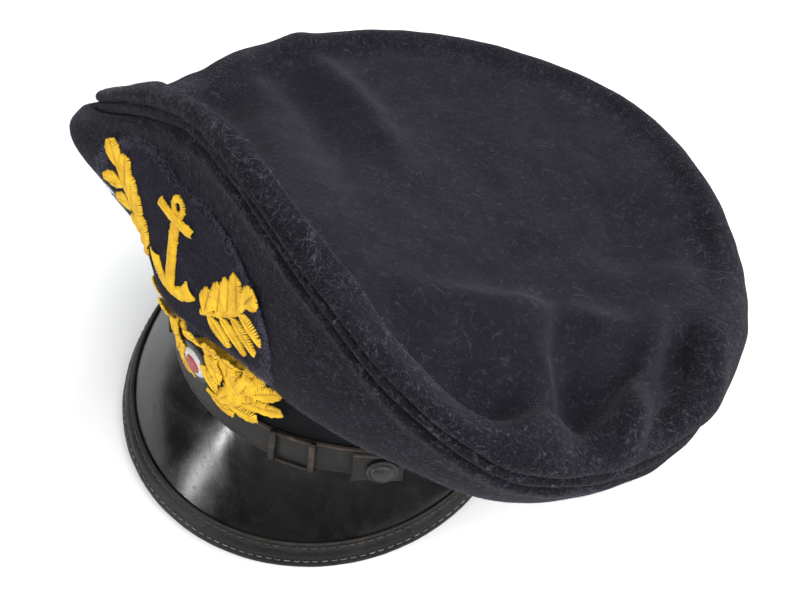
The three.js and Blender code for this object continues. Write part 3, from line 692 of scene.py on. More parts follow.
# Its nap shows lighter near the seam: partly raised nap, partly painted light on the ridge's front slope.
WOOL = wool("wool_cloth", *NAVY, 0.06, True)
PATCH_WOOL = wool("patch_wool_cloth", *PURPLE, 0.05, False)
FIBRE = thread("wool_fibre", (0.045, 0.045, 0.055), (0.15, 0.15, 0.18))
FRINGE = thread("patch_fibre", (0.02, 0.017, 0.035), (0.11, 0.1, 0.16))
MOHAIR = mohair("mohair_braid")
VISOR_LACQUER = lacquer("visor_lacquer", (0.0022, 0.0022, 0.0024), 0.2)
BUTTON_LACQUER = lacquer("button_lacquer", (0.009, 0.0088, 0.0085), 0.2, 0.34)
BINDING_LEATHER = leather("binding_leather", (0.0042, 0.004, 0.0039), (0.03, 0.025, 0.021), 0.06)
STRAP_LEATHER = leather("strap_leather", (0.0085, 0.008, 0.0074), (0.062, 0.049, 0.041), 0.05)
SLIDER_LEATHER = leather("slider_leather", (0.013, 0.0105, 0.009), (0.13, 0.085, 0.065))
GOLD = thread("gold_thread", (0.62, 0.34, 0.006), (0.9, 0.58, 0.014))
STITCH_DARK = thread("dark_stitch", (0.02, 0.017, 0.015), (0.07, 0.058, 0.048))
STITCH_LIGHT = thread("light_stitch", (0.03, 0.027, 0.023), (0.19, 0.175, 0.15))


# ---- Crown ---------------------------------------------

AROUND = 400
ANGLES = np.linspace(-np.pi, np.pi, AROUND, endpoint=False)
SIDE_INNER, TOP_INNER = 14, 24
POLE_CHART = (0, 100)


def edge_tuck(distance, shoulder):
    """How cloth swells beside the piping and turns in under it."""
    tuck = -TUCK_DEPTH * np.exp(-((distance / TUCK_WIDTH) ** 2))
    return tuck + shoulder * np.exp(-(((distance - SHOULDER_AWAY) / SHOULDER_WIDTH) ** 2))


def puckers(theta, distance):
    """Small gathers beside the seam."""
    along = theta * SEAM_RADIUS
    wave = np.sin(along / 2.9 + 1.5 * np.sin(along / 21)) + 0.6 * np.sin(along / 5.3 + 2)
    fade = np.exp(-distance / PUCKER_REACH) * (1 - np.exp(-((distance / 1.6) ** 2)))
    return PUCKER_SIZE * wave * fade


def inner_choice(columns, inner_columns):
    """The columns that a cloth's coarser inner face keeps, in backward order."""
    return np.unique(np.linspace(0, columns - 1, inner_columns).round().astype(int))[::-1]


def wall(grid, inner_columns):
    """A cloth wall's closed section: the grid, and a coarser inner face behind it."""
    inner = grid - grid_normals(grid) * CLOTH
    return np.concatenate([grid, inner[:, inner_choice(grid.shape[1], inner_columns)]], 1)


def seam_chart(distance, inner_columns):
    """Chart of a cloth wall: millimetres along the seam, and away from it."""
    away = np.concatenate([distance, distance[:, inner_choice(distance.shape[1], inner_columns)]], 1)
    along = np.broadcast_to(ANGLES[:, None] * SEAM_RADIUS, away.shape)
    return np.stack([along, away], -1)


def side_cloth():
    """The side panel's outer face, its normals and each point's distance from the seam."""
    r, z = side_panel(ANGLES)
    length = arc_positions(r, z)[:, -1:]
    columns = 44
    share = np.linspace(0, 1, columns) ** 0.85
    distance = share * (length - CLOTH_START)
    r, z = along_curve(r, z, distance)
    grid = polar_point(ANGLES[:, None], r, z)
    normal = grid_normals(grid)
    to_seam = length - distance
    lift = edge_tuck(to_seam, 1.7) + puckers(ANGLES[:, None], to_seam)
    ends = np.clip(distance / 8, 0, 1) * np.clip(to_seam / 8, 0, 1)
    lift = lift + ripple(*np.moveaxis(grid, -1, 0)) * ends
    return grid + normal * lift[..., None], normal, to_seam


def top_cloth():
    """The top's outer face from the seam over the rolled rim inwards, as in side_cloth."""
    theta = ANGLES[:, None]
    seam_r, seam_z = crown_value("seam_r", theta), crown_value("seam_z", theta)
    ridge_r, ridge_z = ridge(theta)
    u = np.linspace(0, np.pi / 2, 40)
    r = ridge_r + (seam_r - ridge_r) * np.cos(u) + ROLL_BULGE * np.sin(2 * u)
    z = seam_z + (ridge_z - seam_z) * np.sin(u)
    length = arc_positions(r, z)[:, -1:]
    distance = CLOTH_START + np.linspace(0, 1, 16) * (length - CLOTH_START)
    r, z = along_curve(r, z, distance)
    shares = np.linspace(1, 0.02, 66)[1:] ** 0.9
    top_r = ridge_r * shares
    top_z = top_height(theta, top_r)
    step = np.hypot(np.diff(top_r, axis=1), np.diff(top_z, axis=1))
    first = np.hypot(top_r[:, :1] - r[:, -1:], top_z[:, :1] - z[:, -1:])
    top_distance = distance[:, -1:] + np.cumsum(np.concatenate([first, step], 1), 1)
    distance = np.concatenate([distance, top_distance], 1)
    grid = polar_point(theta, np.concatenate([r, top_r], 1), np.concatenate([z, top_z], 1))
    normal = grid_normals(grid)
    lift = edge_tuck(distance, 0.9) + puckers(theta, distance)
    calm = np.clip((distance - 3) / 10, 0, 1)
    x, y, z = np.moveaxis(grid, -1, 0)
    lift = lift + (ripple(x, y, z) + fold_height(x, y)) * calm
    return grid + normal * lift[..., None], normal, distance


def build_crown():
    side, side_normal, from_seam = side_cloth()
    section = wall(side, SIDE_INNER)
    # The side's chart is shifted away from the seam, so the side gets less of the nap's painted light.
    chart = seam_chart(from_seam + SIDE_CALM, SIDE_INNER)
    make_piece("crown_side_cloth", section, sweep_faces(section, True), WOOL, ["crown_side"], chart)
    top, top_normal, from_seam = top_cloth()
    section = wall(top, TOP_INNER)
    split = top.shape[1] - 1
    poles = [top[:, split].mean(0), section[:, split + 1].mean(0)]
    points = np.concatenate([section.reshape(-1, 3), poles])
    chart = np.concatenate([seam_chart(from_seam, TOP_INNER).reshape(-1, 2), [POLE_CHART, POLE_CHART]])
    faces = dome_faces(AROUND, section.shape[1], split)
    make_piece("crown_top_cloth", points, faces, WOOL, ["crown_top"], chart)
    build_piping()
    # Hairs in each sheet: their number, the inner columns kept free of them, and their size.
    side_sheets = [(side, side_normal, 11000, 0, 0.9), (side, side_normal, 60, 0, 3.0)]
    build_fibres("crown_side_fibres", side_sheets)
    top_sheets = [(1400, 0, 1.0), (8000, 52, 0.9), (90, 0, 3.0)]
    build_fibres("crown_top_fibres", [(top, top_normal, *sheet) for sheet in top_sheets])


def build_piping():
    theta = np.linspace(-np.pi, np.pi, 720, endpoint=False)
    turn = np.linspace(0, 2 * np.pi, 14, endpoint=False)
    along = theta * SEAM_RADIUS
    radius = PIPING_RADIUS * (1 + 0.04 * np.sin(along / 3.1) + 0.05 * np.sin(along / 11.7 + 1))
    centre_r = crown_value("seam_r", theta) + 0.4 + 0.15 * np.sin(along / 8.3)
    r = centre_r[:, None] + radius[:, None] * np.cos(turn)
    z = crown_value("seam_z", theta)[:, None] + 0.3 + radius[:, None] * np.sin(turn)
    points = polar_point(theta[:, None], r, z)
    chart = np.zeros((*points.shape[:2], 2))
    make_piece("crown_piping_cloth", points, sweep_faces(points, True), WOOL, ["crown_piping"], chart)


def build_fibres(name, sheets):
    """Loose hairs of the nap, lying on the cloth and lifting a little."""
    paths, radii = [], []
    for grid, normal, count, spared, size in sheets:
        i = RANDOM.integers(0, grid.shape[0], count)
        j = RANDOM.integers(2, grid.shape[1] - 2 - spared, count)
        base, up = grid[i, j], normal[i, j]
        around = unit(np.cross(up, RANDOM.normal(size=(count, 3))))
        curl = np.cross(up, around) * RANDOM.normal(0, 0.8, (count, 1))
        length = (RANDOM.gamma(2.0, 0.35, (count, 1)) + 0.35) * size
        t = np.array([0.0, 0.5, 1.0])
        rise = RANDOM.uniform(0.1, 0.4, (count, 1))
        lift = 0.02 + rise[:, None] * np.array([0, 1, 0.7])[None, :, None]
        path = base[:, None] + up[:, None] * lift + (around * length)[:, None] * t[None, :, None]
        path = path + (curl * length)[:, None] * (t**2)[None, :, None]
        paths.append(path)
        radii.append(RANDOM.uniform(0.015, 0.028, count) * size**0.5)
    points, faces = tubes(np.concatenate(paths), np.concatenate(radii), sides=3, taper=0.5)
    make_piece(name, points, faces, FIBRE, [])


# ---- Band and visor ------------------------------------


def build_band():
    """The band's ring, with its lower edge laid flat where the cap rests on it."""
    outline = rounded_box(-BAND_WALL, 0, 0, BAND_HEIGHT, 0.7, 4)
    out, z = outline[:, 0], outline[:, 1]
    points = band_point(ANGLES[:, None], out + BAND_FLARE * z / BAND_HEIGHT, z)
    floor = CAP.rest_height(points[..., 1])
    points[..., 2] = np.maximum(points[..., 2], floor + 0.01)
    make_piece("band_mohair", points, sweep_faces(points, True), MOHAIR, ["cap_band"])


def visor_angles(count):
    """Angles over the visor, closer together towards its points."""
    phase = np.radians(np.linspace(-VISOR_PHASE, VISOR_PHASE, count))
    return VISOR_HALF_ANGLE * VISOR_END_SHARE * np.sin(phase) / math.sin(math.radians(VISOR_PHASE))


def visor_wave(theta, d):
    return 0.10 * np.sin(theta * 7 + d / 9) + 0.06 * np.sin(theta * 15 - d / 5 + 1)


def build_visor():
    theta = visor_angles(161)
    columns = 26
    d = VISOR_START + np.linspace(0, 1, columns) * (visor_reach(theta)[:, None] - VISOR_START)
    angle = theta[:, None]
    bow = visor_crown(angle, d) + visor_wave(angle, d) * np.sin(np.pi * d / visor_reach(angle)).clip(0)
    top = visor_point(angle, d, bow)
    under = visor_point(angle, d, bow - VISOR_WALL)
    section = np.concatenate([top, under[:, ::-1]], 1)
    faces = grid_faces(len(theta), 2 * columns, ring_columns=True).tolist()
    for base in (0, (len(theta) - 1) * 2 * columns):
        for k in range(columns - 1):
            faces.append([base + k, base + k + 1, base + 2 * columns - 2 - k, base + 2 * columns - 1 - k])
    make_piece("visor_shell", section, faces, VISOR_LACQUER, ["visor"])


def binding_outline():
    """Section of the folded binding, as pairs of distance in from the edge and lift."""
    w, t = BINDING_WIDTH, BINDING_WALL
    low, high = -VISOR_WALL - GAP, GAP + t
    top = [(w, GAP * 0.3), (w, GAP + 0.55 * t), (w - 0.5, high), (w - 1.4, high)]
    top += [(w - 1.9, high - 0.28), (w - 2.4, high), (w / 2, high + 0.25)]
    top += [(2.6, high + 0.1), (1.9, high - 0.25), (1.3, high), (0.2, high - 0.1)]
    middle = (high + low - t) / 2
    half = high - middle
    turns = np.radians([60, 35, 10, -15, -40, -65])
    bow = [(-0.35 - t * math.cos(a), middle + half * math.sin(a)) for a in turns]
    bottom = [(0.4, low - t), (w / 2, low - t), (w - 0.5, low - t), (w, low - 0.5 * t), (w, low)]
    inside = [(w / 2, low), (0.2, low), (-0.3, middle), (0.2, GAP * 0.3), (w / 2, GAP * 0.3)]
    return np.array(top + bow + bottom + inside)


def binding_point(theta, inward, lift):
    reach = visor_reach(theta)
    room = np.clip((reach - VISOR_START) / BINDING_WIDTH, 0.1, 1)
    inward = np.where(inward > 0, inward * room, inward)
    bow = visor_crown(theta, reach - inward) * np.clip(inward / 2, 0, 1)
    return visor_point(theta, reach - inward, lift + bow)


def build_binding():
    theta = visor_angles(241)
    outline = binding_outline()
    wrinkle = 0.05 * np.sin(theta * 95 + 2 * np.sin(theta * 31)) + 0.05 * np.sin(theta * 37)
    top_side = (outline[:, 1] > GAP + 0.5).astype(float)
    lift = outline[:, 1] + wrinkle[:, None] * top_side
    points = binding_point(theta[:, None], outline[:, 0] + 0 * lift, lift)
    across = np.clip(1 - (outline[:, 0] + 1) / (BINDING_WIDTH + 1), 0, 1)
    chart = np.stack(np.broadcast_arrays(theta[:, None] * 130, across), -1)
    faces = sweep_faces(points)
    make_piece("visor_edge_binding", points, faces, BINDING_LEATHER, ["visor_binding"], chart)
    stitch_row("binding_inner_stitches", BINDING_WIDTH - 1.9, STITCH_DARK, 0.24)
    stitch_row("binding_outer_stitches", 1.5, STITCH_LIGHT, 0.27)


def stitch_row(name, inward, material, radius):
    """Separate stitches along the binding, each dipping into the leather at its ends."""
    fine = np.linspace(-1, 1, 2000) * VISOR_HALF_ANGLE * 0.9
    line = binding_point(fine, np.full_like(fine, inward), np.full_like(fine, 0.0))
    arc = path_lengths(line)
    starts = np.arange(2, arc[-1] - STITCH_PITCH, STITCH_PITCH)
    starts = starts + RANDOM.uniform(-0.15, 0.15, len(starts))
    share = np.linspace(0, 1, 5)
    where = np.interp(starts[:, None] + share * STITCH_LENGTH, arc, fine)
    lift = GAP + BINDING_WALL - STITCH_DIP + STITCH_DIP * np.sin(np.pi * share) ** 0.6
    paths = binding_point(where, np.full_like(where, inward), np.broadcast_to(lift, where.shape))
    points, faces = tubes(paths, radius)
    make_piece(name, points, faces, material, [])


# ---- Strap, sliders and buttons ------------------------


def strap_mesh(name, start, end, out, nodes, wave=0.0, curl=0.0):
    """A length of strap, swaying off its seat by wave or curling up at its start."""
    theta = np.linspace(start, end, max(8, int(abs(end - start) * 110)))
    outline = rounded_box(0, STRAP_HEIGHT, out, out + STRAP_WALL, 0.5)
    sway = wave * np.sin(theta * 9 + 1) * np.sin(theta * 4)
    up = outline[:, 0] + 0.25 * np.sin(theta * 14)[:, None] * (wave > 0)
    lift = outline[:, 1] + sway[:, None] ** 2
    if curl:
        tip = np.clip((theta - start) / (end - start), 0, 1)[:, None]
        lift = lift + curl * np.clip(1 - tip * 4, 0, 1) ** 2 * np.clip(1 - up / 5, 0, 1)
    points = strap_point(theta[:, None], up, lift)
    chart = np.stack(np.broadcast_arrays(theta[:, None] * FRONT_RADIUS, outline[:, 0] / STRAP_HEIGHT), -1)
    make_piece(name, points, sweep_faces(points), STRAP_LEATHER, nodes, chart)


def build_strap():
    layer = STRAP_WALL + GAP
    strap_mesh("chin_strap_leather", -STRAP_HALF_ANGLE, STRAP_HALF_ANGLE, 0, ["chin_strap"], wave=0.5)
    for side, word in SIDES:
        start, end = side * STRAP_END[0], side * STRAP_END[1]
        strap_mesh(f"strap_end_{word}_leather", start, end, layer, [f"strap_end_{word}"], curl=1.2)
        build_slider(side, word)
        build_button(side, word)


def build_slider(side, word):
    """Frame with two broad loops across the strap and thin rails along its edges."""
    parts = []
    layer = STRAP_WALL + SLIDER_CLEAR
    reach = SLIDER_HALF_WIDTH
    tall = STRAP_HEIGHT / 2 + LOOP_HALF_WIDTH
    up = np.linspace(-tall, tall, 15)[:, None]
    for x in (-reach + LOOP_HALF_WIDTH, reach - LOOP_HALF_WIDTH):
        outline = rounded_box(x - LOOP_HALF_WIDTH, x + LOOP_HALF_WIDTH, layer, layer + LOOP_HEIGHT, 0.6)
        bulge = 0.25 * np.cos(np.pi * up / tall / 2)
        theta = side * SLIDER_ANGLE + outline[:, 0] / FRONT_RADIUS
        points = strap_point(theta, STRAP_HEIGHT / 2 + up, outline[:, 1] + bulge)
        parts.append((points, sweep_faces(points)))
    along = np.linspace(-reach + 1.5, reach - 1.5, 15)[:, None]
    outline = rounded_box(-RAIL_HALF_WIDTH, RAIL_HALF_WIDTH, layer, layer + RAIL_HEIGHT, 0.45)
    theta = side * SLIDER_ANGLE + along / FRONT_RADIUS
    for y in (-tall + RAIL_HALF_WIDTH, tall - RAIL_HALF_WIDTH):
        points = strap_point(theta, STRAP_HEIGHT / 2 + y + outline[:, 0], outline[:, 1])
        parts.append((points, sweep_faces(points)))
    points, faces = join(parts)
    name = f"strap_slider_{word}"
    make_piece(f"{name}_frame", points, faces, SLIDER_LEATHER, [name])


def lathe(profile, centre, axis, segments, flute=None):
    """A turned solid, with each face's place along its profile.

    The profile's pairs of radius and height go from the axis at the back to it at the front.
    """
    axis = unit(axis)
    side = unit(np.cross(axis, [0.0, 0.0, 1.0]))
    over = np.cross(side, axis)
    turn = np.linspace(0, 2 * np.pi, segments, endpoint=False)
    profile = np.asarray(profile, float)
    ring = profile[1:-1]
    radius = ring[:, 0] * (1 + (flute(turn[:, None], ring[:, 0]) if flute else 0 * turn[:, None]))
    around = np.cos(turn)[:, None, None] * side + np.sin(turn)[:, None, None] * over
    points = centre + around * radius[..., None] + axis * ring[:, 1][None, :, None]
    count = len(ring)
    faces = grid_faces(segments, count, ring_rows=True).tolist()
    poles = np.array([centre + axis * profile[0, 1], centre + axis * profile[-1, 1]])
    back, front = segments * count, segments * count + 1
    bands = [k for _ in range(segments) for k in range(count - 1)]
    for i in range(segments):
        j = (i + 1) % segments
        faces.append([j * count, i * count, back])
        faces.append([i * count + count - 1, j * count + count - 1, front])
        bands += [0, count - 1]
    return np.concatenate([points.reshape(-1, 3), poles]), faces, bands


def dome_profile(radius, edge, height, steps):
    turns = np.linspace(0, np.pi / 2, steps)[:-1]
    rise = [(radius * math.cos(a), edge + (height - edge) * math.sin(a)) for a in turns]
    return rise + [(0, height)]


def build_button(side, word):
    theta = side * BUTTON_ANGLE
    middle = STRAP_HEIGHT / 2
    seat = strap_point(theta, middle, 2 * (STRAP_WALL + GAP))
    axis = seat - strap_point(theta, middle, 0.0)
    r = BUTTON_RADIUS
    profile = [(0, 0), (r * 0.8, 0), (r, 0.4), (r, 1.0), (r * 0.94, 1.3), (r * 0.86, 1.15)]
    profile += dome_profile(r * 0.82, 1.2, BUTTON_HEIGHT, 10)
    points, faces, _ = lathe(profile, seat, axis, 48)
    name = f"side_button_{word}"
    make_piece(f"{name}_dome", points, faces, BUTTON_LACQUER, [name])


# ---- Embroidery ----------------------------------------

SPRAY_COLUMNS = ("share", "angle", "length", "half_width")
SPRAY_LEAVES = (
    (0.05, 76, 11, 3.4),
    (0.1, -44, 12, 3.3),
    (0.27, 82, 13, 3.7),
    (0.31, -30, 13, 3.4),
    (0.48, 87, 13.5, 3.8),
    (0.53, -16, 12, 3.4),
    (0.72, 92, 13, 3.5),
    (0.76, 0, 10, 3.1),
    (0.97, 64, 10, 3),
)
SPRAY_STEM = ((15, 24), (21, 27), (27, 32), (32, 38), (35, 45))
WREATH_COLUMNS = ("around", "angle", "length", "half_width")
WREATH_SHIFT, WREATH_HALF_WIDTH, WREATH_HALF_HEIGHT = 2.0, 19.5, 12.5
WREATH_LEAVES = (
    (-80, -22, 12, 3.2),
    (-64, 28, 12, 3.6),
    (-50, -36, 13, 3.6),
    (-34, 32, 13, 3.8),
    (-20, -38, 13, 3.8),
    (-5, 32, 13, 3.8),
    (10, -38, 12.5, 3.7),
    (24, 28, 12, 3.6),
    (36, -42, 11.5, 3.4),
    (50, 6, 11, 3.3),
)
# Leaves on the outer side of each branch: where they start, as placed on the front, and their lie.
OUTER_COLUMNS = ("u", "z", "angle", "length", "half_width", "lift")
WREATH_OUTER_LEAVES = (
    (12, 18, 118, 12, 3.4, 1.7),
    (14, 25, 108, 13, 3.6, 1.7),
    (12, 33, 100, 12, 3.6, 1.4),
    (9, 40, 96, 14, 3.6, 0.4),
    (14, 39, 76, 15, 3.9, 0.6),
    (19, 37, 62, 15, 4.0, 0.4),
    (23, 33, 50, 15, 4.0, 0.6),
    (25, 28, 34, 14, 3.9, 0.4),
    (25, 22, 16, 13, 3.6, 0.6),
    (17, 31, 84, 13, 3.8, 1.0),
    (22, 26, 66, 13, 3.8, 1.0),
)
THREAD_RADIUS, THREAD_PITCH = 0.33, 0.66
PATCH_TURNS = np.linspace(0, 2 * np.pi, 180, endpoint=False)
# Half width, height of the middle and half height.
BADGE_OVAL, WREATH_OVAL = (45, 37, 25), (33, 26, 14)
ANCHOR_FOOT, ANCHOR_TOP, ARM_RADIUS, RING_RADIUS, RING_Z = 24, 52, 11.5, 2.6, 54.4


def satin(left, right, lift, rise):
    """Threads between matching points of two lines in the chart, arched over the padding."""
    t = np.array([0.0, 0.25, 0.5, 0.75, 1.0])
    flat = left[:, None] * (1 - t)[None, :, None] + right[:, None] * t[None, :, None]
    height = lift + rise * np.sin(np.pi * t) ** 0.7 + RANDOM.normal(0, 0.04, (len(left), 1))
    return np.concatenate([flat, np.broadcast_to(height, flat.shape[:2])[..., None]], -1)


def leaf_stitches(start, degrees, length, half_width, lift, lobes=0.0):
    """Slanted satin stitches on both sides of a leaf's midrib."""
    angle = math.radians(degrees)
    direction = np.array([math.cos(angle), math.sin(angle)])
    across = np.array([-direction[1], direction[0]])
    count = int(length / THREAD_PITCH)
    share = np.linspace(0.02, 0.98, count)
    ahead = np.clip(share + 0.14, 0, 1)
    width = half_width * np.sin(np.pi * share**0.85) ** 0.65 * (1 - lobes * np.cos(5 * np.pi * share) ** 2)
    width = width + RANDOM.normal(0, 0.16, count)
    result = []
    for side in (-1, 1):
        inner = start + direction * (share * length)[:, None] + across * side * 0.12
        outer = start + direction * (ahead * length)[:, None] + across * (side * width)[:, None]
        result.append(satin(inner, outer, lift, 0.55))
    return np.concatenate(result)


def bar_stitches(line, half_width, lift, rise=0.7):
    """Satin stitches straight across a line with a width at each point."""
    line = np.asarray(line, float)
    half_width = np.broadcast_to(half_width, (len(line),)).astype(float)
    arc = path_lengths(line)
    where = np.arange(0, arc[-1], THREAD_PITCH)
    middle = along_line(line, where, arc)
    width = np.interp(where, arc, half_width) + RANDOM.normal(0, 0.14, len(where))
    tangent = unit(np.gradient(middle, axis=0))
    across = np.stack([-tangent[:, 1], tangent[:, 0]], -1) + 0.25 * tangent
    return satin(middle - across * width[:, None], middle + across * width[:, None], lift, rise)


def embroider(name, stitches, chart, side, nodes):
    flat = np.concatenate(stitches)
    paths = chart(side * flat[..., 0], flat[..., 1], flat[..., 2])
    points, faces = tubes(paths, THREAD_RADIUS)
    make_piece(name, points, faces, GOLD, nodes)


def build_badge():
    line = np.array(SPRAY_STEM, float)
    arc = path_lengths(line)
    for side, word in SIDES:
        stitches = [bar_stitches(line, 0.9, BADGE_LIFT, 0.5)]
        for values in SPRAY_LEAVES:
            leaf = row(SPRAY_COLUMNS, values)
            start = along_line(line, leaf["share"] * arc[-1], arc)
            size = leaf["length"], leaf["half_width"]
            stitches.append(leaf_stitches(start, leaf["angle"], *size, BADGE_LIFT))
        embroider(f"badge_spray_{word}_threads", stitches, panel_point, side, [f"badge_spray_{word}"])
    turns = np.radians(np.linspace(-60, 60, 25))
    arms = np.stack([ARM_RADIUS * np.sin(turns), ANCHOR_FOOT + ARM_RADIUS * (1 - np.cos(turns))], -1)
    ring_turns = np.linspace(0, 2 * np.pi, 25)
    ring = np.stack([RING_RADIUS * np.cos(ring_turns), RING_Z + RING_RADIUS * np.sin(ring_turns)], -1)
    anchor = [
        bar_stitches(arms, 1.9 + 1.3 * np.abs(turns / turns[-1]), BADGE_LIFT),
        bar_stitches([(0, ANCHOR_FOOT), (0, ANCHOR_TOP)], 2.2, BADGE_LIFT + 0.15, 0.8),
        bar_stitches([(-9, 50), (9, 50)], 1.7, BADGE_LIFT + 0.3),
        bar_stitches(ring, 1.1, BADGE_LIFT, 0.5),
    ]
    embroider("badge_anchor_threads", anchor, panel_point, 1, ["badge_anchor"])


def over_seam_point(u, z, out):
    """Front chart that runs up over the lower part of the side panel."""
    low = front_point(u, np.minimum(z, BAND_HEIGHT), out)
    off_cloth = out - WREATH_LIFT + BADGE_LIFT + 0.6
    high = panel_point(u, np.maximum(z - BAND_HEIGHT, 0), off_cloth)
    share = np.clip((z - BAND_HEIGHT + 6) / 8, 0, 1)[..., None]
    share = share * share * (3 - 2 * share)
    return low * (1 - share) + high * share


def build_wreath():
    def ring_point(degrees):
        turn = np.radians(degrees)
        x = WREATH_SHIFT + WREATH_HALF_WIDTH * np.cos(turn)
        return np.stack([x, COCKADE_Z + WREATH_HALF_HEIGHT * np.sin(turn)], -1)

    stem = ring_point(np.linspace(-84, 60, 30))
    for side, word in SIDES:
        stitches = [bar_stitches(stem, 1.2, WREATH_LIFT, 0.5)]
        for values in WREATH_LEAVES:
            leaf = row(WREATH_COLUMNS, values)
            angle = leaf["around"] + 90 + leaf["angle"]
            size = leaf["length"], leaf["half_width"] * 1.25
            stitches.append(leaf_stitches(ring_point(leaf["around"]), angle, *size, WREATH_LIFT, 0.25))
        for values in WREATH_OUTER_LEAVES:
            leaf = row(OUTER_COLUMNS, values)
            start = np.array([leaf["u"], leaf["z"]])
            size = leaf["length"], leaf["half_width"]
            stitches.append(leaf_stitches(start, leaf["angle"], *size, WREATH_LIFT + leaf["lift"], 0.1))
        embroider(f"wreath_{word}_threads", stitches, over_seam_point, side, [f"wreath_{word}"])


def cloth_patch(name, outline, chart, lift, wall_mm, rings, nodes):
    """A cut patch of cloth: its outline, repeated smaller in rings, with a thinner edge."""
    middle = outline.mean(0)
    shares = np.linspace(1, 0.0, rings + 1)[:-1]
    flat = middle + (outline - middle)[:, None] * shares[None, :, None]
    edge = np.clip((1 - shares) * 12, 0, 1)
    top = chart(flat[..., 0], flat[..., 1], lift + 0.25 + (wall_mm - 0.25) * edge)
    under = chart(flat[..., 0], flat[..., 1], lift)
    section = np.concatenate([top, under[:, ::-1]], 1)
    poles = [chart(*middle, lift + wall_mm), chart(*middle, lift)]
    points = np.concatenate([section.reshape(-1, 3), poles])
    faces = dome_faces(len(outline), 2 * rings, rings - 1)
    make_piece(name, points, faces, PATCH_WOOL, nodes)


def ragged(size):
    """Factors near 1 that make an outline uneven."""
    wave = sum(np.sin(PATCH_TURNS * k + RANDOM.uniform(0, 6.28)) / k**0.5 for k in (5, 9, 14, 23, 37, 61))
    return 1 + size * wave


def patch_fringe(outline, lift, wall_mm):
    """Matted hairs standing along the raw edge of the badge patch."""
    count = 5000
    where = RANDOM.uniform(0, len(outline), count)
    closed = np.concatenate([outline, outline[:1]])
    start = along_line(closed, where, np.arange(len(closed)))
    outward = unit(start - outline.mean(0))
    start = start - outward * RANDOM.uniform(-1.0, 4.0, (count, 1))
    heading = RANDOM.uniform(0, 2 * np.pi, count)
    step = np.stack([np.cos(heading), np.sin(heading)], -1) * RANDOM.uniform(0.3, 0.8, (count, 1))
    step = step + outward * 0.15
    curl = np.stack([-step[:, 1], step[:, 0]], -1) * RANDOM.normal(0, 0.9, (count, 1))
    t = np.array([0.0, 0.5, 1.0])[None, :, None]
    flat = start[:, None] + step[:, None] * 2 * t + curl[:, None] * t**2
    rise = lift + wall_mm + RANDOM.uniform(0.1, 0.9, (count, 1)) * np.array([0, 1, 0.75])
    paths = panel_point(flat[..., 0], flat[..., 1], rise)
    points, faces = tubes(paths, RANDOM.uniform(0.03, 0.055, count), sides=3, taper=0.6)
    make_piece("badge_patch_fringe", points, faces, FRINGE, [])


def soft_oval(half_width, middle, half_height):
    """Outline of an oval with full corners, whose middle lies at a height on the front."""
    x, y = (np.sign(v) * np.abs(v) ** 0.72 for v in (np.cos(PATCH_TURNS), np.sin(PATCH_TURNS)))
    return half_width * x, middle + half_height * y


def build_patches():
    x, y = soft_oval(*BADGE_OVAL)
    y = y - 5 * (x / 48) ** 2
    rag = ragged(0.006)
    middle = BADGE_OVAL[1]
    badge = np.stack([x * rag, middle + (y - middle) * rag], -1)
    lift = PATCH_LIFT - 0.4
    cloth_patch("badge_patch_cloth", badge, panel_point, lift, PATCH_WALL + 0.3, 26, ["badge_patch"])
    patch_fringe(badge, lift, PATCH_WALL - 0.2)
    x, y = soft_oval(*WREATH_OVAL)
    wreath = np.stack([x * rag, y], -1)
    wall_mm = WREATH_PATCH_WALL
    cloth_patch("wreath_patch_cloth", wreath, front_point, WREATH_OUT, wall_mm, 20, ["wreath_patch"])


def build_cockade():
    seat = front_point(0.0, COCKADE_Z, WREATH_LIFT)
    axis = seat - front_point(0.0, COCKADE_Z, 0.0)
    r, h = COCKADE_RADIUS, COCKADE_HEIGHT
    profile = [(0, 0), (r, 0), (r, 0.9), (r * 0.93, 1.3), (r * 0.72, 1.5), (r * 0.68, 1.3)]
    profile += [(r * 0.66, 1.5), (r * 0.58, 2.0), (r * 0.46, 2.3), (r * 0.42, 2.1)]
    profile += dome_profile(r * 0.4, 2.2, h, 7)

    def flutes(turn, radius):
        return np.where(radius > r * 0.69, 0.03 * np.cos(28 * turn), 0)

    points, faces, bands = lathe(profile, seat, axis, 112, flutes)
    kinds = [0 if band < 4 else 1 if band < 8 else 2 for band in bands]
    paints = [
        enamel("cockade_black", (0.02, 0.02, 0.022)),
        enamel("cockade_white", (0.55, 0.53, 0.5)),
        enamel("cockade_red", (0.32, 0.05, 0.045)),
    ]
    make_piece("cockade_rings", points, faces, paints, ["cockade"], face_materials=kinds)


# ---- Setting -------------------------------------------

CAMERA_AZIMUTH, CAMERA_ELEVATION, CAMERA_ROLL = (math.radians(a) for a in (45.05, 45.77, 8.59))
CAMERA_TARGET, CAMERA_DISTANCE, CAMERA_LENS = (29.7, -39.4, 38.6), 300.0, 37.0


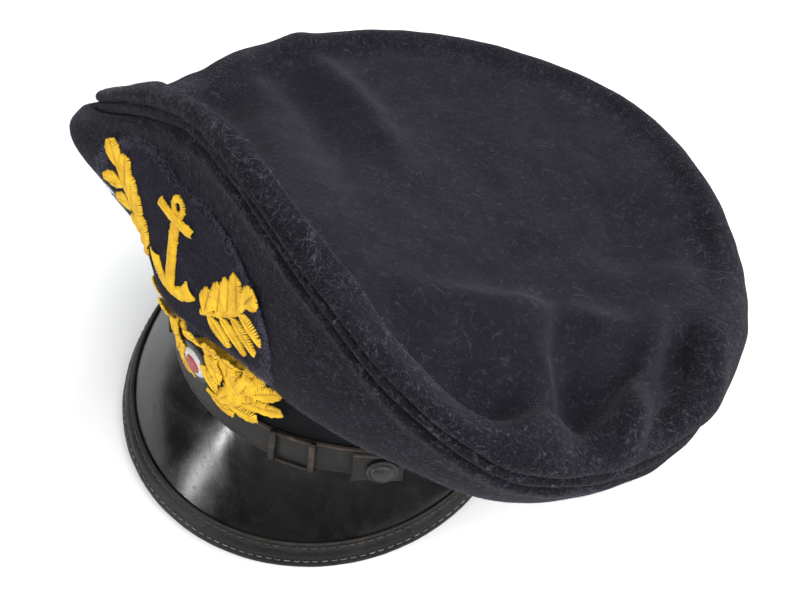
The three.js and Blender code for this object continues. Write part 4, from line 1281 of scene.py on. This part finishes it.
def build_camera():
    """The view is set in the worn frame and laid down with the cap."""
    a, e = CAMERA_AZIMUTH, CAMERA_ELEVATION
    back = np.array([math.sin(a) * math.cos(e), -math.cos(a) * math.cos(e), math.sin(e)])
    right = np.array([math.cos(a), math.sin(a), 0.0])
    up = np.cross(right, -back)
    c, s = math.cos(CAMERA_ROLL), math.sin(CAMERA_ROLL)
    axes = np.stack([c * right + s * up, -s * right + c * up, back], 1)
    matrix = np.eye(4)
    matrix[:3, :3] = CAP.turn @ axes
    matrix[:3, 3] = CAP.place(np.array(CAMERA_TARGET) + back * CAMERA_DISTANCE)
    data = bpy.data.cameras.new("camera")
    data.lens = CAMERA_LENS
    data.clip_start = 0.01
    camera = add_object("camera", data)
    camera.matrix_world = Matrix(matrix.tolist())
    bpy.context.scene.camera = camera


def area_light(name, place, target_z, size, power):
    """A rectangular light aimed at a height above the floor's middle."""
    data = bpy.data.lights.new(name, "AREA")
    data.shape = "RECTANGLE"
    data.size, data.size_y = size
    data.energy = power
    light = add_object(name, data)
    light.location = place
    towards = Vector((0, 0, target_z)) - Vector(place)
    light.rotation_euler = towards.to_track_quat("-Z", "Y").to_euler()


def build_room():
    """Soft daylight from above that fades towards the horizon."""
    world = bpy.data.worlds.new("pale_room")
    world.use_nodes = True
    nodes, links = world.node_tree.nodes, world.node_tree.links
    direction = nodes.new("ShaderNodeTexCoord").outputs["Generated"]
    height = nodes.new("ShaderNodeSeparateXYZ")
    links.new(direction, height.inputs["Vector"])
    fade = nodes.new("ShaderNodeMapRange")
    for key, value in (("From Min", 0.2), ("From Max", 0.95), ("To Min", 0.11), ("To Max", 0.85)):
        fade.inputs[key].default_value = value
    links.new(height.outputs["Z"], fade.inputs["Value"])
    links.new(fade.outputs["Result"], nodes["Background"].inputs["Strength"])
    nodes["Background"].inputs["Color"].default_value = (0.96, 0.98, 1.0, 1)
    bpy.context.scene.world = world


def build_setting():
    mesh = bpy.data.meshes.new("floor")
    s = 4.0
    mesh.from_pydata([(-s, -s, 0), (s, -s, 0), (s, s, 0), (-s, s, 0)], [], [(0, 1, 2, 3)])
    mesh.materials.append(backdrop("pale_floor"))
    floor = add_object("floor", mesh)
    build_room()
    area_light("back_key", (-0.3, 1.15, 1.05), 0.05, (0.9, 0.7), 23)
    area_light("front_fill", (0.55, -0.75, 1.2), 0.05, (0.7, 0.7), 9)
    area_light("side_fill", (1.2, 0.3, 0.9), 0.03, (1.0, 0.8), 25)
    area_light("window_strip", (-0.25, -1.17, 0.33), 0.05, (0.05, 0.45), 3.6)
    bpy.context.scene.view_settings.view_transform = "Standard"


build_camera()
build_setting()
build_crown()
build_band()
build_visor()
build_binding()
build_strap()
build_patches()
build_badge()
build_wreath()
build_cockade()
